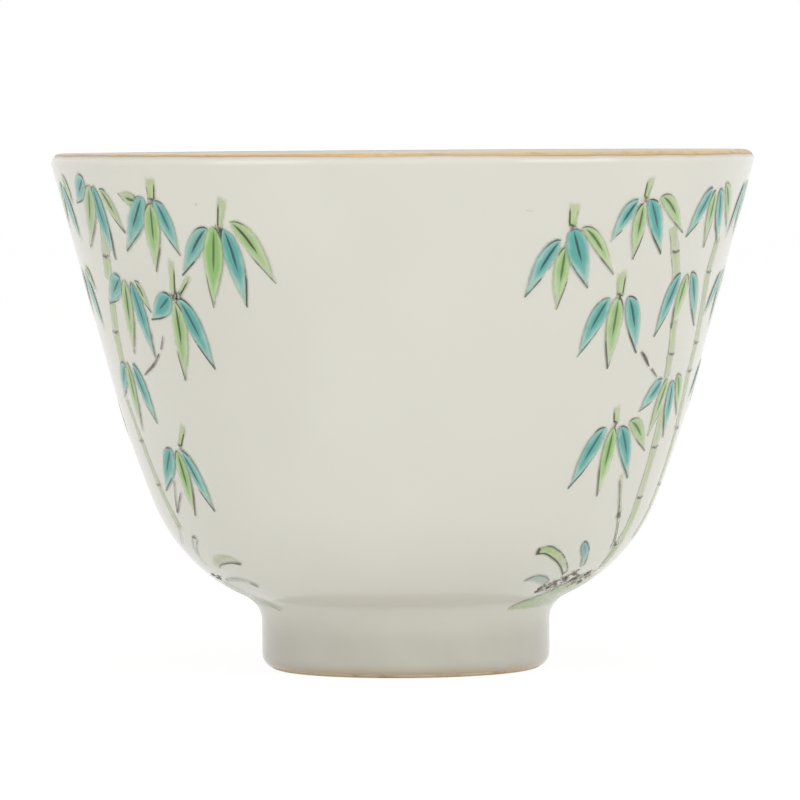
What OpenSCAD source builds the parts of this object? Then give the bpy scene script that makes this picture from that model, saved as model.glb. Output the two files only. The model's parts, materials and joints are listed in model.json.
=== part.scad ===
// Porcelain cup with a flared wall, a turned foot ring, a gilded lip and a bamboo grove in enamels.
// Millimetres. The foot stands on Z = 0, the axis is Z, and azimuth 0 is the front, on -Y.

/* [Cup] */
// Diameter across the lip
rim_d = 84; // [76:1:96]
// Height from the table to the top of the gilded lip
cup_h = 62; // [54:1:74]
// Thickness of the glazed wall
wall = 2.2; // [1.4:0.1:3.2]
// Lean of the straight upper wall from upright, in degrees
flare = 15.2; // [11:0.1:19]
// Height at which the straight upper wall starts to curve in
bend_h = 34.6; // [29:0.1:42]
// Radius of the long curve of the flank
flank_r = 130; // [90:1:200]
// Lean of the wall from upright where the flank runs into the belly, in degrees
belly_lean = 22; // [20:0.1:28]
// Radius of the round belly
belly_r = 20.4; // [18:0.1:23]
// Thickness of the floor above the foot well
floor_t = 3.6; // [2.4:0.1:5]

/* [Foot] */
// Diameter of the foot ring
foot_d = 34.5; // [30:0.5:40]
// Width of the foot ring
foot_w = 3.3; // [2.8:0.1:5]
// Radius of the hollow curve between the foot ring and the belly
cove_r = 3.6; // [2.4:0.1:5]
// Rounding of the outer lower edge of the foot ring
foot_round = 2; // [0.8:0.1:2.2]
// Rounding of the inner lower edge of the foot ring
foot_inner_round = 0.5; // [0.4:0.05:0.6]
// Fillet round the top of the foot well
well_fillet = 1.2; // [0.6:0.1:2]
// Height of the bare clay edge that is wiped free of glaze
bare_h = 0.5; // [0.3:0.05:1]

/* [Coats] */
// Thickness of the clear white glaze
glaze_t = 0.25; // [0.1:0.01:0.35]
// Thickness of the enamels, which stand proud of the glaze
enamel_t = 0.15; // [0.08:0.01:0.3]
// Thickness of the gilding
gilt_t = 0.08; // [0.04:0.01:0.2]
// Depth of the gilding below the top of the lip
gilt_h = 0.65; // [0.3:0.05:0.8]

/* [Painting] */
// Distance of the highest leaf joint below the top of the lip
joint_drop = 3; // [2:0.1:4]
// Share of a leaf's length at which it is widest
leaf_belly = 0.34; // [0.28:0.01:0.45]
// How quickly a leaf narrows to its tip
leaf_taper = 1.2; // [1:0.05:1.5]
// Gap between two lengths of a cane, where the node is
node_gap = 0.35; // [0.2:0.05:0.8]
// How much a cane narrows between two nodes, on each side
cane_waist = 0.12; // [0.04:0.01:0.2]
// Lowest edge of the painted ground
bank_low = 8; // [7.6:0.1:8.6]
// Height of the painted ground at the sides and the back
bank_side_h = 11.8; // [10.8:0.1:12.4]
// Distance of the ends of the painted ground in front of the axis
bank_tip = 12.1; // [9:0.1:14]
// Slope of the painted ground at its ends, in degrees
bank_slope = 66; // [55:1:75]
// Azimuth of the bare front between the two ends of the painted ground
bank_front = -6; // [-20:1:20]

/* [Hidden] */
$fn = 144;

// The outer wall, walked from the lip down: straight, flank, belly, cove, foot
rim_r = rim_d / 2;
foot_r = foot_d / 2;
lip_r = wall / 2;
lip_c = [rim_r - lip_r, cup_h - gilt_t - lip_r];
wall_out = [cos(flare), -sin(flare)];
wall_up = [sin(flare), cos(flare)];
lip_edge = lip_c + lip_r * wall_out;
bend = lip_edge - (lip_edge[1] - bend_h) / cos(flare) * wall_up;
flank_c = bend - flank_r * wall_out;
belly_out = [cos(belly_lean), -sin(belly_lean)];
belly_c = flank_c + (flank_r - belly_r) * belly_out;
cove_x = foot_r + cove_r;
cove_c = [cove_x, belly_c[1] - sqrt(pow(belly_r + cove_r, 2) - pow(cove_x - belly_c[0], 2))];
cove_out = (cove_c - belly_c) / (belly_r + cove_r);
flank_end = flank_c + flank_r * belly_out;
belly_end = belly_c + belly_r * cove_out;
curve_error = 0.01;

// The inside floor and the foot well
floor_z = belly_c[1] - belly_r + wall;
well_z = floor_z - floor_t;
well_r = foot_r - foot_w;
ring_mid_r = foot_r - foot_w / 2;

// Points along an arc about c from one angle to another, close enough to the true round of radius r;
// d moves the arc outwards
function arc(c, r, d, first, last) =
    let (steps = ceil(abs(last - first) / (2 * acos(1 - curve_error / r))))
    [for (i = [0:steps]) let (a = first + (last - first) * i / steps) c + (r + d) * [cos(a), sin(a)]];

// The outer wall from the foot up to the lip, set in from the glazed surface by d
cove_end = atan2(-cove_out[1], -cove_out[0]);
belly_start = atan2(cove_out[1], cove_out[0]);
function outer_wall(d) = concat(
    arc(cove_c, cove_r, d, 180, cove_end),
    arc(belly_c, belly_r, -d, belly_start, -belly_lean),
    arc(flank_c, flank_r, -d, -belly_lean, -flare)
);

// The inner wall from the lip down to the floor, set in from the glazed surface by d
function inner_wall(d) = concat(
    arc(flank_c, flank_r, d - wall, -flare, -belly_lean),
    arc(belly_c, belly_r - wall, d, -belly_lean, -90),
    [[0, floor_z - d]]
);

// The lip from the outer wall over to the inner wall, set in by d
function lip(d) = arc(lip_c, lip_r, -d, -flare, 180 - flare);

// The foot ring and its well, from the axis out, set in by d but for the face that it stands on
function foot(d) = concat(
    [[0, well_z + d]],
    arc([well_r - well_fillet, well_z - well_fillet], well_fillet, d, 90, 0),
    arc([well_r + foot_inner_round, foot_inner_round - d], foot_inner_round, -d, 180, 270),
    arc([foot_r - foot_round, foot_round - d], foot_round, -d, 270, 360)
);

// Radius of the glazed outer wall at height z
function wall_r(z) =
    z > bend[1] ? bend[0] + (z - bend[1]) * tan(flare) :
    z > flank_end[1] ? flank_c[0] + sqrt(pow(flank_r, 2) - pow(z - flank_c[1], 2)) :
    z > belly_end[1] ? belly_c[0] + sqrt(pow(belly_r, 2) - pow(z - belly_c[1], 2)) :
    z > cove_c[1] ? cove_c[0] - sqrt(pow(cove_r, 2) - pow(z - cove_c[1], 2)) :
    foot_r;

// The painting is drawn for a rim of this diameter and spread to fit another
drawn_rim_d = 84;
spread = rim_d / drawn_rim_d;
spray_drop = 10;
spray_top = 1.5;
spray_angle = 16;
cane_straight = 0.7;
leaf_shares = [0.06, 0.16, 0.3, 0.45, 0.62, 0.8];
stencil_room = 2.5;
reach = rim_d;

// Leaf sprays on the two sides of the front: azimuth, height, and leaves from front to back.
// A leaf has a colour, a start and a tip in millimetres from the joint, a width and a bow to the right.
side_sprays = [
    [-76, 59, [
        ["turquoise", [-0.6, -0.8], [1.8, -7.4], 2.4, 0],
        ["green", [0.6, 0.4], [2.6, -3.0], 1.6, 0.2],
        ["green", [-1.4, -0.4], [-4.6, -6.2], 2.0, -0.2],
    ]],
    [-61.5, 58.5, [
        ["green", [-0.6, -0.2], [-4.8, -7.5], 2.8, 0.2],
        ["turquoise", [0.5, -0.2], [1.6, -8.8], 2.4, -0.2],
        ["green", [1.9, -0.6], [5.2, -5.7], 1.7, 0.3],
        ["turquoise", [-1.8, 0.7], [-5.9, -2.3], 2.6, 0],
    ]],
    [-45.3, 56.6, [
        ["green", [-0.1, -0.3], [-1.5, -8.2], 2.6, 0],
        ["turquoise", [-1.4, 0.4], [-6.4, -5.9], 2.7, 0],
        ["turquoise", [0.7, 0], [3.0, -6.3], 2.2, 0.2],
        ["green", [-2.6, 0.1], [-5.8, 0.8], 1.6, 0.2],
    ]],
    [-31.7, 53.2, [
        ["green", [-0.7, 0.4], [-2.5, -8.9], 2.7, 0],
        ["turquoise", [0.5, 0.2], [2.1, -8.8], 2.4, 0.3],
        ["green", [1.5, 0.9], [6.2, -6.0], 2.1, 0.6],
        ["turquoise", [-1.7, 0.2], [-6.4, -5.2], 2.2, -0.3],
    ]],
    [-44.4, 45.2, [
        ["green", [-0.1, -0.3], [-1.0, -9.5], 2.3, 0.2],
        ["turquoise", [0.6, 0], [4.1, -8.1], 2.3, 0.3],
        ["turquoise", [-0.7, 0.3], [-4.9, -2.5], 2.6, 0],
    ]],
    [-57.5, 47.4, [
        ["green", [-0.2, -0.1], [-2.2, -8.8], 2.2, 0],
        ["turquoise", [1.2, -0.4], [2.4, -9.1], 2.2, 0],
        ["turquoise", [-1.3, 0.1], [-5.8, -3.0], 2.6, 0],
        ["green", [1.9, -0.2], [3.7, -3.8], 1.2, 0.2],
    ]],
    [-65.8, 37.5, [
        ["green", [0.2, -0.1], [-0.9, -8.2], 2.1, 0],
        ["turquoise", [1.6, -0.2], [3.9, -7.1], 2.2, 0],
        ["turquoise", [-0.9, -0.3], [-4.6, -4.3], 2.4, 0],
    ]],
    [-54.3, 27.5, [
        ["green", [-0.1, -0.3], [-0.6, -8.0], 2.2, 0.2],
        ["turquoise", [0.8, -0.3], [3.5, -7.3], 1.8, 0.2],
        ["turquoise", [-1.4, -0.1], [-6.1, -5.3], 2.4, 0],
        ["green", [-2.7, -4.0], [-4.7, -7.9], 1.1, 0],
    ]],
    [-80, 48.6, [
        ["turquoise", [1.2, -0.6], [3.4, -7.6], 2.2, 0],
        ["green", [2.4, 0], [5.0, -2.6], 1.6, 0.2],
        ["green", [-1.0, -0.4], [-3.4, -6.8], 2.0, 0],
    ]],
    [29, 53.3, [
        ["turquoise", [0.1, -0.2], [3.1, -7.0], 2.8, 0],
        ["green", [1.4, -0.1], [6.6, -5.5], 1.6, 0.5],
        ["turquoise", [-1.3, -1.5], [-4.9, -7.9], 2.0, -0.3],
        ["green", [-0.6, -2.3], [-0.7, -9.4], 2.0, 0],
    ]],
    [43.2, 56.4, [
        ["green", [-0.2, -0.5], [-0.3, -6.9], 2.1, 0],
        ["turquoise", [0.7, -0.1], [4.4, -6.4], 2.3, 0.3],
        ["turquoise", [-1.1, -0.1], [-4.2, -4.8], 1.9, -0.2],
        ["green", [2.6, 0.2], [8.0, -4.0], 1.9, 0.5],
    ]],
    [63, 57.9, [
        ["turquoise", [1.2, -0.5], [4.4, -6.9], 2.2, 0],
        ["green", [-0.1, -0.6], [0.3, -7.3], 2.0, 0],
        ["turquoise", [-1.0, -0.4], [-4.7, -6.0], 2.1, 0],
        ["green", [2.5, 0], [7.5, -5.6], 1.9, 0.4],
    ]],
    [82, 58.5, [
        ["turquoise", [-1.4, -0.4], [-5.2, -7.0], 2.2, 0],
        ["green", [-0.2, -0.5], [-0.2, -7.6], 2.2, 0],
        ["turquoise", [0.9, -0.2], [4.4, -6.2], 2.2, 0],
    ]],
    [59.5, 47.7, [
        ["green", [0, -0.2], [-0.8, -6.5], 2.0, 0],
        ["turquoise", [-1.5, -0.1], [-4.1, -7.4], 2.1, -0.2],
        ["turquoise", [1.1, -0.1], [5.7, -6.4], 2.1, 0.2],
    ]],
    [42.1, 45.2, [
        ["green", [-0.7, -0.1], [-0.4, -8.4], 2.4, 0],
        ["turquoise", [0.9, -0.1], [4.0, -6.7], 2.4, 0.3],
        ["turquoise", [-2.0, -0.2], [-5.2, -6.9], 2.3, -0.3],
    ]],
    [61, 35.4, [
        ["green", [0.4, -0.2], [-1.0, -6.9], 1.9, 0],
        ["turquoise", [1.9, -0.5], [3.7, -7.3], 2.1, 0],
        ["turquoise", [-0.9, -0.3], [-4.4, -3.9], 1.9, 0],
        ["green", [3.0, 0.1], [6.6, -4.8], 1.9, 0.3],
    ]],
    [46.8, 30.2, [
        ["green", [-0.2, -0.4], [0, -8.5], 2.0, 0],
        ["turquoise", [1.0, -0.4], [5.1, -6.6], 2.2, 0.3],
        ["turquoise", [-1.6, -0.4], [-5.0, -7.4], 2.2, -0.3],
        ["green", [2.6, 0.1], [7.5, -3.5], 1.9, 0.5],
    ]],
    [81, 48, [
        ["turquoise", [-1.2, -0.6], [-5.4, -5.6], 2.2, 0],
        ["green", [0, -0.3], [0.6, -7.8], 2.2, 0],
        ["turquoise", [1.2, -0.2], [4.8, -6.0], 2.1, 0],
    ]],
    [88, 37, [
        ["turquoise", [-0.9, -0.4], [-4.8, -5.0], 2.1, 0],
        ["green", [0.2, -0.3], [0.4, -7.6], 2.1, 0],
        ["turquoise", [1.2, 0], [5.0, -5.4], 2.1, 0.2],
    ]],
];

// Three spray forms that the back repeats
spray_forms = [
    [
        ["green", [-0.3, -0.3], [-1.2, -8.4], 2.4, 0],
        ["turquoise", [0.6, -0.1], [2.6, -8.0], 2.3, 0.2],
        ["turquoise", [-1.2, -0.1], [-5.2, -5.8], 2.2, -0.3],
        ["green", [1.6, 0.4], [6.0, -5.2], 1.9, 0.5],
    ],
    [
        ["green", [0.1, -0.4], [0.3, -8.6], 2.2, 0],
        ["turquoise", [1.1, -0.3], [4.6, -6.6], 2.2, 0.2],
        ["turquoise", [-0.9, -0.2], [-4.4, -6.8], 2.2, -0.2],
    ],
    [
        ["turquoise", [-0.5, -0.3], [-2.6, -8.2], 2.4, 0],
        ["green", [0.5, -0.3], [1.6, -8.6], 2.2, 0],
        ["turquoise", [1.4, 0], [5.4, -5.6], 2.1, 0.3],
        ["green", [-1.4, 0.1], [-5.8, -3.4], 1.8, -0.4],
    ],
];

// Sprays on the back, first those that hang from twigs and then those that grow from a cane:
// azimuth, height, form, and 1 or -1 for the way it faces
twig_places = [
    [103, 57.5, 0, 1], [135, 56, 2, 1], [166, 58, 1, 1], [198, 56.5, 0, -1], [230, 58, 2, -1], [260, 56, 1, 1],
    [132, 33.5, 2, -1], [190, 31, 0, 1], [229, 33.5, 2, 1], [264, 34, 1, -1],
];
cane_places = [
    [118, 46, 1, -1], [150, 47, 0, 1], [182, 45, 2, 1], [214, 46.5, 1, 1], [246, 45, 0, -1], [111, 31, 1, 1],
    [155, 30, 1, -1],
];
function faced(leaf, way) =
    [leaf[0], [way * leaf[1][0], leaf[1][1]], [way * leaf[2][0], leaf[2][1]], leaf[3], way * leaf[4]];
back_sprays = [
    for (place = concat(twig_places, cane_places))
        [place[0], place[1], [for (leaf = spray_forms[place[2]]) faced(leaf, place[3])]]
];
sprays = concat(side_sprays, back_sprays);

// The painting's heights are stretched so that its highest joint keeps its distance from the lip
lift = (cup_h - joint_drop) / max([for (spray = sprays) spray[1]]);

// Twig stubs that carry the sprays: start and end as azimuth and height, width at start and end
side_twigs = [
    [[-45.2, 56.8], [-44.6, 59.2], 1.0, 1.4],
    [[-31.6, 53.5], [-30.2, 56.9], 0.5, 1.2],
    [[-44.6, 45.6], [-43.4, 49.7], 0.5, 0.8],
    [[-42.9, 45.9], [-40.1, 47.9], 0.4, 0.6],
    [[-52.9, 27.9], [-50.0, 30.3], 0.5, 0.8],
    [[29.0, 53.5], [28.9, 56.0], 0.8, 1.25],
    [[43.2, 56.6], [43.7, 58.9], 0.5, 1.0],
    [[41.3, 45.4], [40.8, 48.0], 0.9, 1.4],
    [[46.9, 30.4], [46.2, 32.2], 0.6, 0.9],
];
back_twig_rise = [0.3, 2.3];
back_twig_w = [0.5, 0.9];
twig_strokes = concat(side_twigs, [
    for (place = twig_places)
        [[place[0], place[1] + back_twig_rise[0]], [place[0], place[1] + back_twig_rise[1]],
            back_twig_w[0], back_twig_w[1]]
]);

// Canes as a width and the places of their nodes, from the top down, as azimuth and height
cane_lines = [
    [2.1, [[-61, 53], [-62.7, 50], [-63.8, 48]]],
    [1.9, [[-65.8, 43.8], [-67.5, 41], [-68.2, 37.8]]],
    [1.5, [[-72.2, 32.4], [-70.8, 28], [-69.4, 22.8], [-67, 18.4]]],
    [1.7, [[52.4, 52.3], [53.9, 50.2], [55.4, 48.1]]],
    [1.3, [[59.4, 41.2], [60.8, 38.1], [61.3, 36.2]]],
    [1.4, [[63.3, 31.3], [64.6, 27], [65.6, 21], [66.6, 15.6], [69, 13.1]]],
    [0.6, [[54.1, 23.2], [58, 19.2], [63, 15.8]]],
    [1.4, [[69.8, 51], [69.2, 47.6], [73, 39.2], [73.2, 35.8], [76.5, 29], [79, 22.2], [78, 16.5]]],
    [2.0, [[119, 54], [117, 46], [115, 36], [113, 26], [110, 16]]],
    [1.8, [[150, 55], [151, 45], [154, 34], [157, 24], [160, 15]]],
    [2.1, [[183, 55], [181, 44], [178, 33], [176, 23], [174, 15]]],
    [1.8, [[214, 54], [213, 44], [211, 33], [207, 24], [203, 15]]],
    [2.0, [[246, 55], [247, 45], [249, 35], [251, 25], [253, 16]]],
];

// Round hollows in the upper edge of the painted ground: azimuth, height of the middle and radius
hollows = [
    [80, 13.3, 2.8], [98, 13.4, 3], [116, 13.2, 2.9], [139, 13.4, 3.2], [163, 13.2, 3],
    [190, 13.4, 3.2], [217, 13.2, 2.9], [243, 13.4, 3.2], [266, 13.2, 3], [283, 13.3, 2.8],
];

// Grass blades as bent bands: azimuth and height of the bend's middle, radius, width, first and last angle
green_blades = [
    [36.6, 9.2, 6.8, 0.8, 28, 103],
    [-55, 11.0, 3.7, 0.8, 40, 150],
    [112, 12.4, 3.6, 0.8, 20, 110],
    [168, 12.6, 3.8, 0.8, 70, 160],
    [238, 12.4, 3.6, 0.8, 20, 110],
];
turquoise_blades = [
    [63.1, 19.8, 8, 0.9, 205, 239],
    [41, 8.0, 4.4, 0.7, 50, 130],
    [-61.5, 12.6, 4.1, 0.7, 75, 168],
    [-56, 6, 5.9, 0.6, 60, 118],
    [140, 12.4, 3.4, 0.8, 60, 150],
    [194, 12.6, 3.6, 0.8, 20, 110],
    [266, 12.4, 3.4, 0.8, 60, 150],
];

// Half of the cup's section, with every glazed surface set in by d
module section(d) {
    polygon(concat(foot(d), outer_wall(d), lip(d), inner_wall(d)));
}

// Half of the section of the glaze, in and out, with the foot ring's edge wiped bare
module glaze_section() {
    difference() {
        section(0);
        section(glaze_t);
        square([rim_r, bare_h]);
    }
}

// The side of the section that lies in the foot well
module well_zone() {
    square([ring_mid_r, well_z + floor_t / 2]);
}

// The thin skin on the outer wall that the enamels are cut from
module enamel_skin() {
    inside = outer_wall(0);
    top = lip(0)[0];
    count = len(inside);
    rotate_extrude() polygon(concat(
        outer_wall(-enamel_t), [top + enamel_t * wall_out, top], [for (i = [1:count]) inside[count - i]]
    ));
}

// A drawing in the plane that faces azimuth az, with height z at its origin, cut through the outer wall
// between the heights low and high
module stencil(az, z, low, high) {
    near = wall_r(low) - stencil_room;
    far = wall_r(high) + stencil_room;
    rotate(az) translate([0, -near, z]) rotate([90, 0, 0]) linear_extrude(far - near) children();
}

// Half-width of a leaf at share t of its length, as a share of its greatest
leaf_round = leaf_taper * leaf_belly / (1 - leaf_belly);
function leaf_curve(t) = pow(t, leaf_round) * pow(1 - t, leaf_taper);
function leaf_swell(t) = leaf_curve(t) / leaf_curve(leaf_belly);

// A leaf from its start to its tip
module leaf_outline(leaf) {
    run = leaf[2] - leaf[1];
    l = norm(run);
    left_w = leaf[3] / 2 + leaf[4];
    right_w = leaf[3] / 2 - leaf[4];
    count = len(leaf_shares);
    translate(leaf[1]) rotate(atan2(run[1], run[0])) polygon(concat(
        [[0, 0]], [for (t = leaf_shares) [l * t, -right_w * leaf_swell(t)]],
        [[l, 0]], [for (i = [1:count]) let (t = leaf_shares[count - i]) [l * t, left_w * leaf_swell(t)]]
    ));
}

// The drawing of a spray, cut through the outer wall
module spray_stencil(spray) {
    z = spray[1] * lift;
    stencil(spray[0], z, z - spray_drop * lift, z) scale([spread, lift]) children();
}

// All the leaves of the sprays that come close to a cane's length between two nodes
module leaves_near(from, to) {
    az = (from[0] + to[0]) / 2;
    for (spray = sprays)
        if (abs((spray[0] - az + 540) % 360 - 180) < spray_angle && spray[1] - spray_drop < from[1]
            && spray[1] > to[1] - spray_top)
            spray_stencil(spray)
                for (leaf = spray[2])
                    leaf_outline(leaf);
}

// All the leaves of one colour, each cut back where a leaf in front of it in its spray covers it
module leaves(colour) {
    for (spray = sprays, i = [0:len(spray[2]) - 1])
        if (spray[2][i][0] == colour)
            intersection() {
                enamel_skin();
                spray_stencil(spray) difference() {
                    leaf_outline(spray[2][i]);
                    for (j = [0:1:i - 1])
                        leaf_outline(spray[2][j]);
                }
            }
}

// A place on the outer wall, as seen in the plane that faces azimuth az, from height z
function seen(place, az, z) = [wall_r(place[1] * lift) * sin(place[0] - az), (place[1] - z) * lift];

// A straight stroke from one place to another, with its width at each end
module stroke(from, to, from_w, to_w) {
    az = (from[0] + to[0]) / 2;
    z = (from[1] + to[1]) / 2;
    a = seen(from, az, z);
    b = seen(to, az, z);
    side = spread * [a[1] - b[1], b[0] - a[0]] / norm(b - a);
    stencil(az, z * lift, min(from[1], to[1]) * lift, max(from[1], to[1]) * lift)
        polygon([a + from_w / 2 * side, a - from_w / 2 * side, b - to_w / 2 * side, b + to_w / 2 * side]);
}

// One length of cane between two nodes, slightly waisted
module cane_length(from, to, width) {
    az = (from[0] + to[0]) / 2;
    z = (from[1] + to[1]) / 2;
    a = seen(from, az, z);
    b = seen(to, az, z);
    end = (norm(b - a) - node_gap) / 2;
    waist_end = end * cane_straight;
    w = width / 2 * spread;
    waist = w - cane_waist;
    stencil(az, z * lift, to[1] * lift, from[1] * lift)
        translate((a + b) / 2) rotate(atan2(b[1] - a[1], b[0] - a[0])) polygon([
            [-end, -w], [-waist_end, -waist], [waist_end, -waist], [end, -w],
            [end, w], [waist_end, waist], [-waist_end, waist], [-end, w],
        ]);
}

// A bent band: part of a ring between two angles
module blade_outline(r, width, first, last) {
    far = 2 * r;
    middle = (first + last) / 2;
    intersection() {
        difference() {
            circle(r);
            circle(r - width);
        }
        polygon([
            [0, 0], far * [cos(first), sin(first)], far * [cos(middle), sin(middle)], far * [cos(last), sin(last)],
        ]);
    }
}

// The slope of the painted ground, which rises from its two ends
module bank_slope_zone() {
    low = bank_low * lift;
    top = bank_side_h * lift;
    tip = -bank_tip * spread;
    rotate(bank_front) rotate([90, 0, 90]) linear_extrude(2 * reach, center = true)
        polygon([[tip, low], [reach, low], [reach, top], [tip + (top - low) / tan(bank_slope), top]]);
}

// Grass blades that stand on the painted ground
module grass(blades) {
    difference() {
        for (blade = blades)
            intersection() {
                enamel_skin();
                stencil(blade[0], blade[1] * lift, bank_low * lift, (blade[1] + blade[2]) * lift)
                    scale([spread, lift]) blade_outline(blade[2], blade[3], blade[4], blade[5]);
            }
        bank_slope_zone();
    }
}

module porcelain_body() {
    color("wheat") rotate_extrude() section(glaze_t);
}

module glaze_coat() {
    color("ivory") rotate_extrude() difference() {
        glaze_section();
        well_zone();
    }
}

module foot_well_glaze() {
    color("ivory") rotate_extrude() intersection() {
        glaze_section();
        well_zone();
    }
}

module gilt_rim() {
    color("goldenrod") rotate_extrude() difference() {
        translate(lip_c) circle(lip_r + gilt_t);
        translate(lip_c) circle(lip_r);
        square([rim_r + gilt_t, cup_h - gilt_h]);
    }
}

module bamboo_canes() {
    color("darkseagreen") for (line = cane_lines, i = [1:len(line[1]) - 1])
        difference() {
            intersection() {
                enamel_skin();
                cane_length(line[1][i - 1], line[1][i], line[0]);
            }
            leaves_near(line[1][i - 1], line[1][i]);
        }
}

module twigs() {
    color("yellowgreen") for (twig = twig_strokes)
        intersection() {
            enamel_skin();
            stroke(twig[0], twig[1], twig[2], twig[3]);
        }
}

module green_leaves() {
    color("yellowgreen") leaves("green");
}

module turquoise_leaves() {
    color("mediumturquoise") leaves("turquoise");
}

module ground_bank() {
    color("darkkhaki") difference() {
        intersection() {
            enamel_skin();
            bank_slope_zone();
        }
        for (hollow = hollows)
            stencil(hollow[0], hollow[1] * lift, (hollow[1] - hollow[2]) * lift, hollow[1] * lift)
                scale([spread, lift]) circle(hollow[2]);
    }
}

module green_grass() {
    color("olivedrab") grass(green_blades);
}

module turquoise_grass() {
    color("cadetblue") grass(turquoise_blades);
}

porcelain_body();
glaze_coat();
foot_well_glaze();
gilt_rim();
bamboo_canes();
twigs();
green_leaves();
turquoise_leaves();
ground_bank();
green_grass();
turquoise_grass();
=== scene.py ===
"""Looks of a porcelain cup with a bamboo grove in enamels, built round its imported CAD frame."""

import json
import logging
import math
import random
from dataclasses import dataclass, field
from enum import Enum
from functools import cached_property

import bpy
import numpy as np
from mathutils import Matrix, Vector

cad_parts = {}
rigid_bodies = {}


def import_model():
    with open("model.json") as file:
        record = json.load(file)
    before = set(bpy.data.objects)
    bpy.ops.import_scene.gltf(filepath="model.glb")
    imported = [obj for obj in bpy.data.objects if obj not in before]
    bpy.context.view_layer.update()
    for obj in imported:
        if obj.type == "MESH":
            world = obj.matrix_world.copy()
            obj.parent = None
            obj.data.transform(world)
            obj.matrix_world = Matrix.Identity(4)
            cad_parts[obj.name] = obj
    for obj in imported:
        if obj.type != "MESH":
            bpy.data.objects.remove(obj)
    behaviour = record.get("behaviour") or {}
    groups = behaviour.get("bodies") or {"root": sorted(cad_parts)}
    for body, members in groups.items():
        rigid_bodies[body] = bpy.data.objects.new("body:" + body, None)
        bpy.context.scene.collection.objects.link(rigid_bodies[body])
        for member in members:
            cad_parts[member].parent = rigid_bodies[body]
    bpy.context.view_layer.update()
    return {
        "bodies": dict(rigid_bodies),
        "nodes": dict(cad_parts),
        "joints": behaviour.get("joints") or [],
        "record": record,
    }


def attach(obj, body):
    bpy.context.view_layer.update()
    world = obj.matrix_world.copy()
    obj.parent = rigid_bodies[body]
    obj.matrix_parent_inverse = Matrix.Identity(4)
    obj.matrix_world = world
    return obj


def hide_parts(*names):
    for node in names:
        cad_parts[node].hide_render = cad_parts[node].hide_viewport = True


MM = 0.001
LOG = logging.getLogger("cup")
Point = tuple[float, float]
Colour = tuple[float, float, float, float]


def linear(red: int, green: int, blue: int) -> Colour:
    """Turn a colour seen on screen into the linear colour that a node takes.

    Args:
        red, green, blue: Display values from 0 to 255.

    Returns:
        Linear red, green, blue and a full alpha.
    """
    shares = np.array([red, green, blue]) / 255
    low, high = shares / 12.92, ((shares + 0.055) / 1.055) ** 2.4
    return (*np.where(shares <= 0.04045, low, high).tolist(), 1.0)


def arc(centre: Point, radius: float, first: float, last: float, steps: int) -> list[Point]:
    """Points along an arc.

    Args:
        centre: Middle of the arc.
        radius: Its radius.
        first, last: Its end angles in degrees.
        steps: How many chords it is cut into.

    Returns:
        The points from the first angle to the last.
    """
    angles = np.radians(np.linspace(first, last, steps + 1))
    return [(centre[0] + radius * math.cos(a), centre[1] + radius * math.sin(a)) for a in angles]


def smooth(knots: np.ndarray, values: np.ndarray, at: np.ndarray) -> np.ndarray:
    """A smooth curve through points, by cubic pieces with gentle slopes.

    Args:
        knots: Where the values lie, in rising order.
        values: The values.
        at: Where the curve is wanted.

    Returns:
        The curve's values.
    """
    slopes = np.gradient(values, knots)
    k = np.clip(np.searchsorted(knots, at, side="right") - 1, 0, len(knots) - 2)
    gap = knots[k + 1] - knots[k]
    t = (at - knots[k]) / gap
    return (
        (1 + 2 * t) * (1 - t) ** 2 * values[k] + t * (1 - t) ** 2 * gap * slopes[k]
        + t * t * (3 - 2 * t) * values[k + 1] + t * t * (t - 1) * gap * slopes[k + 1]
    )


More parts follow.
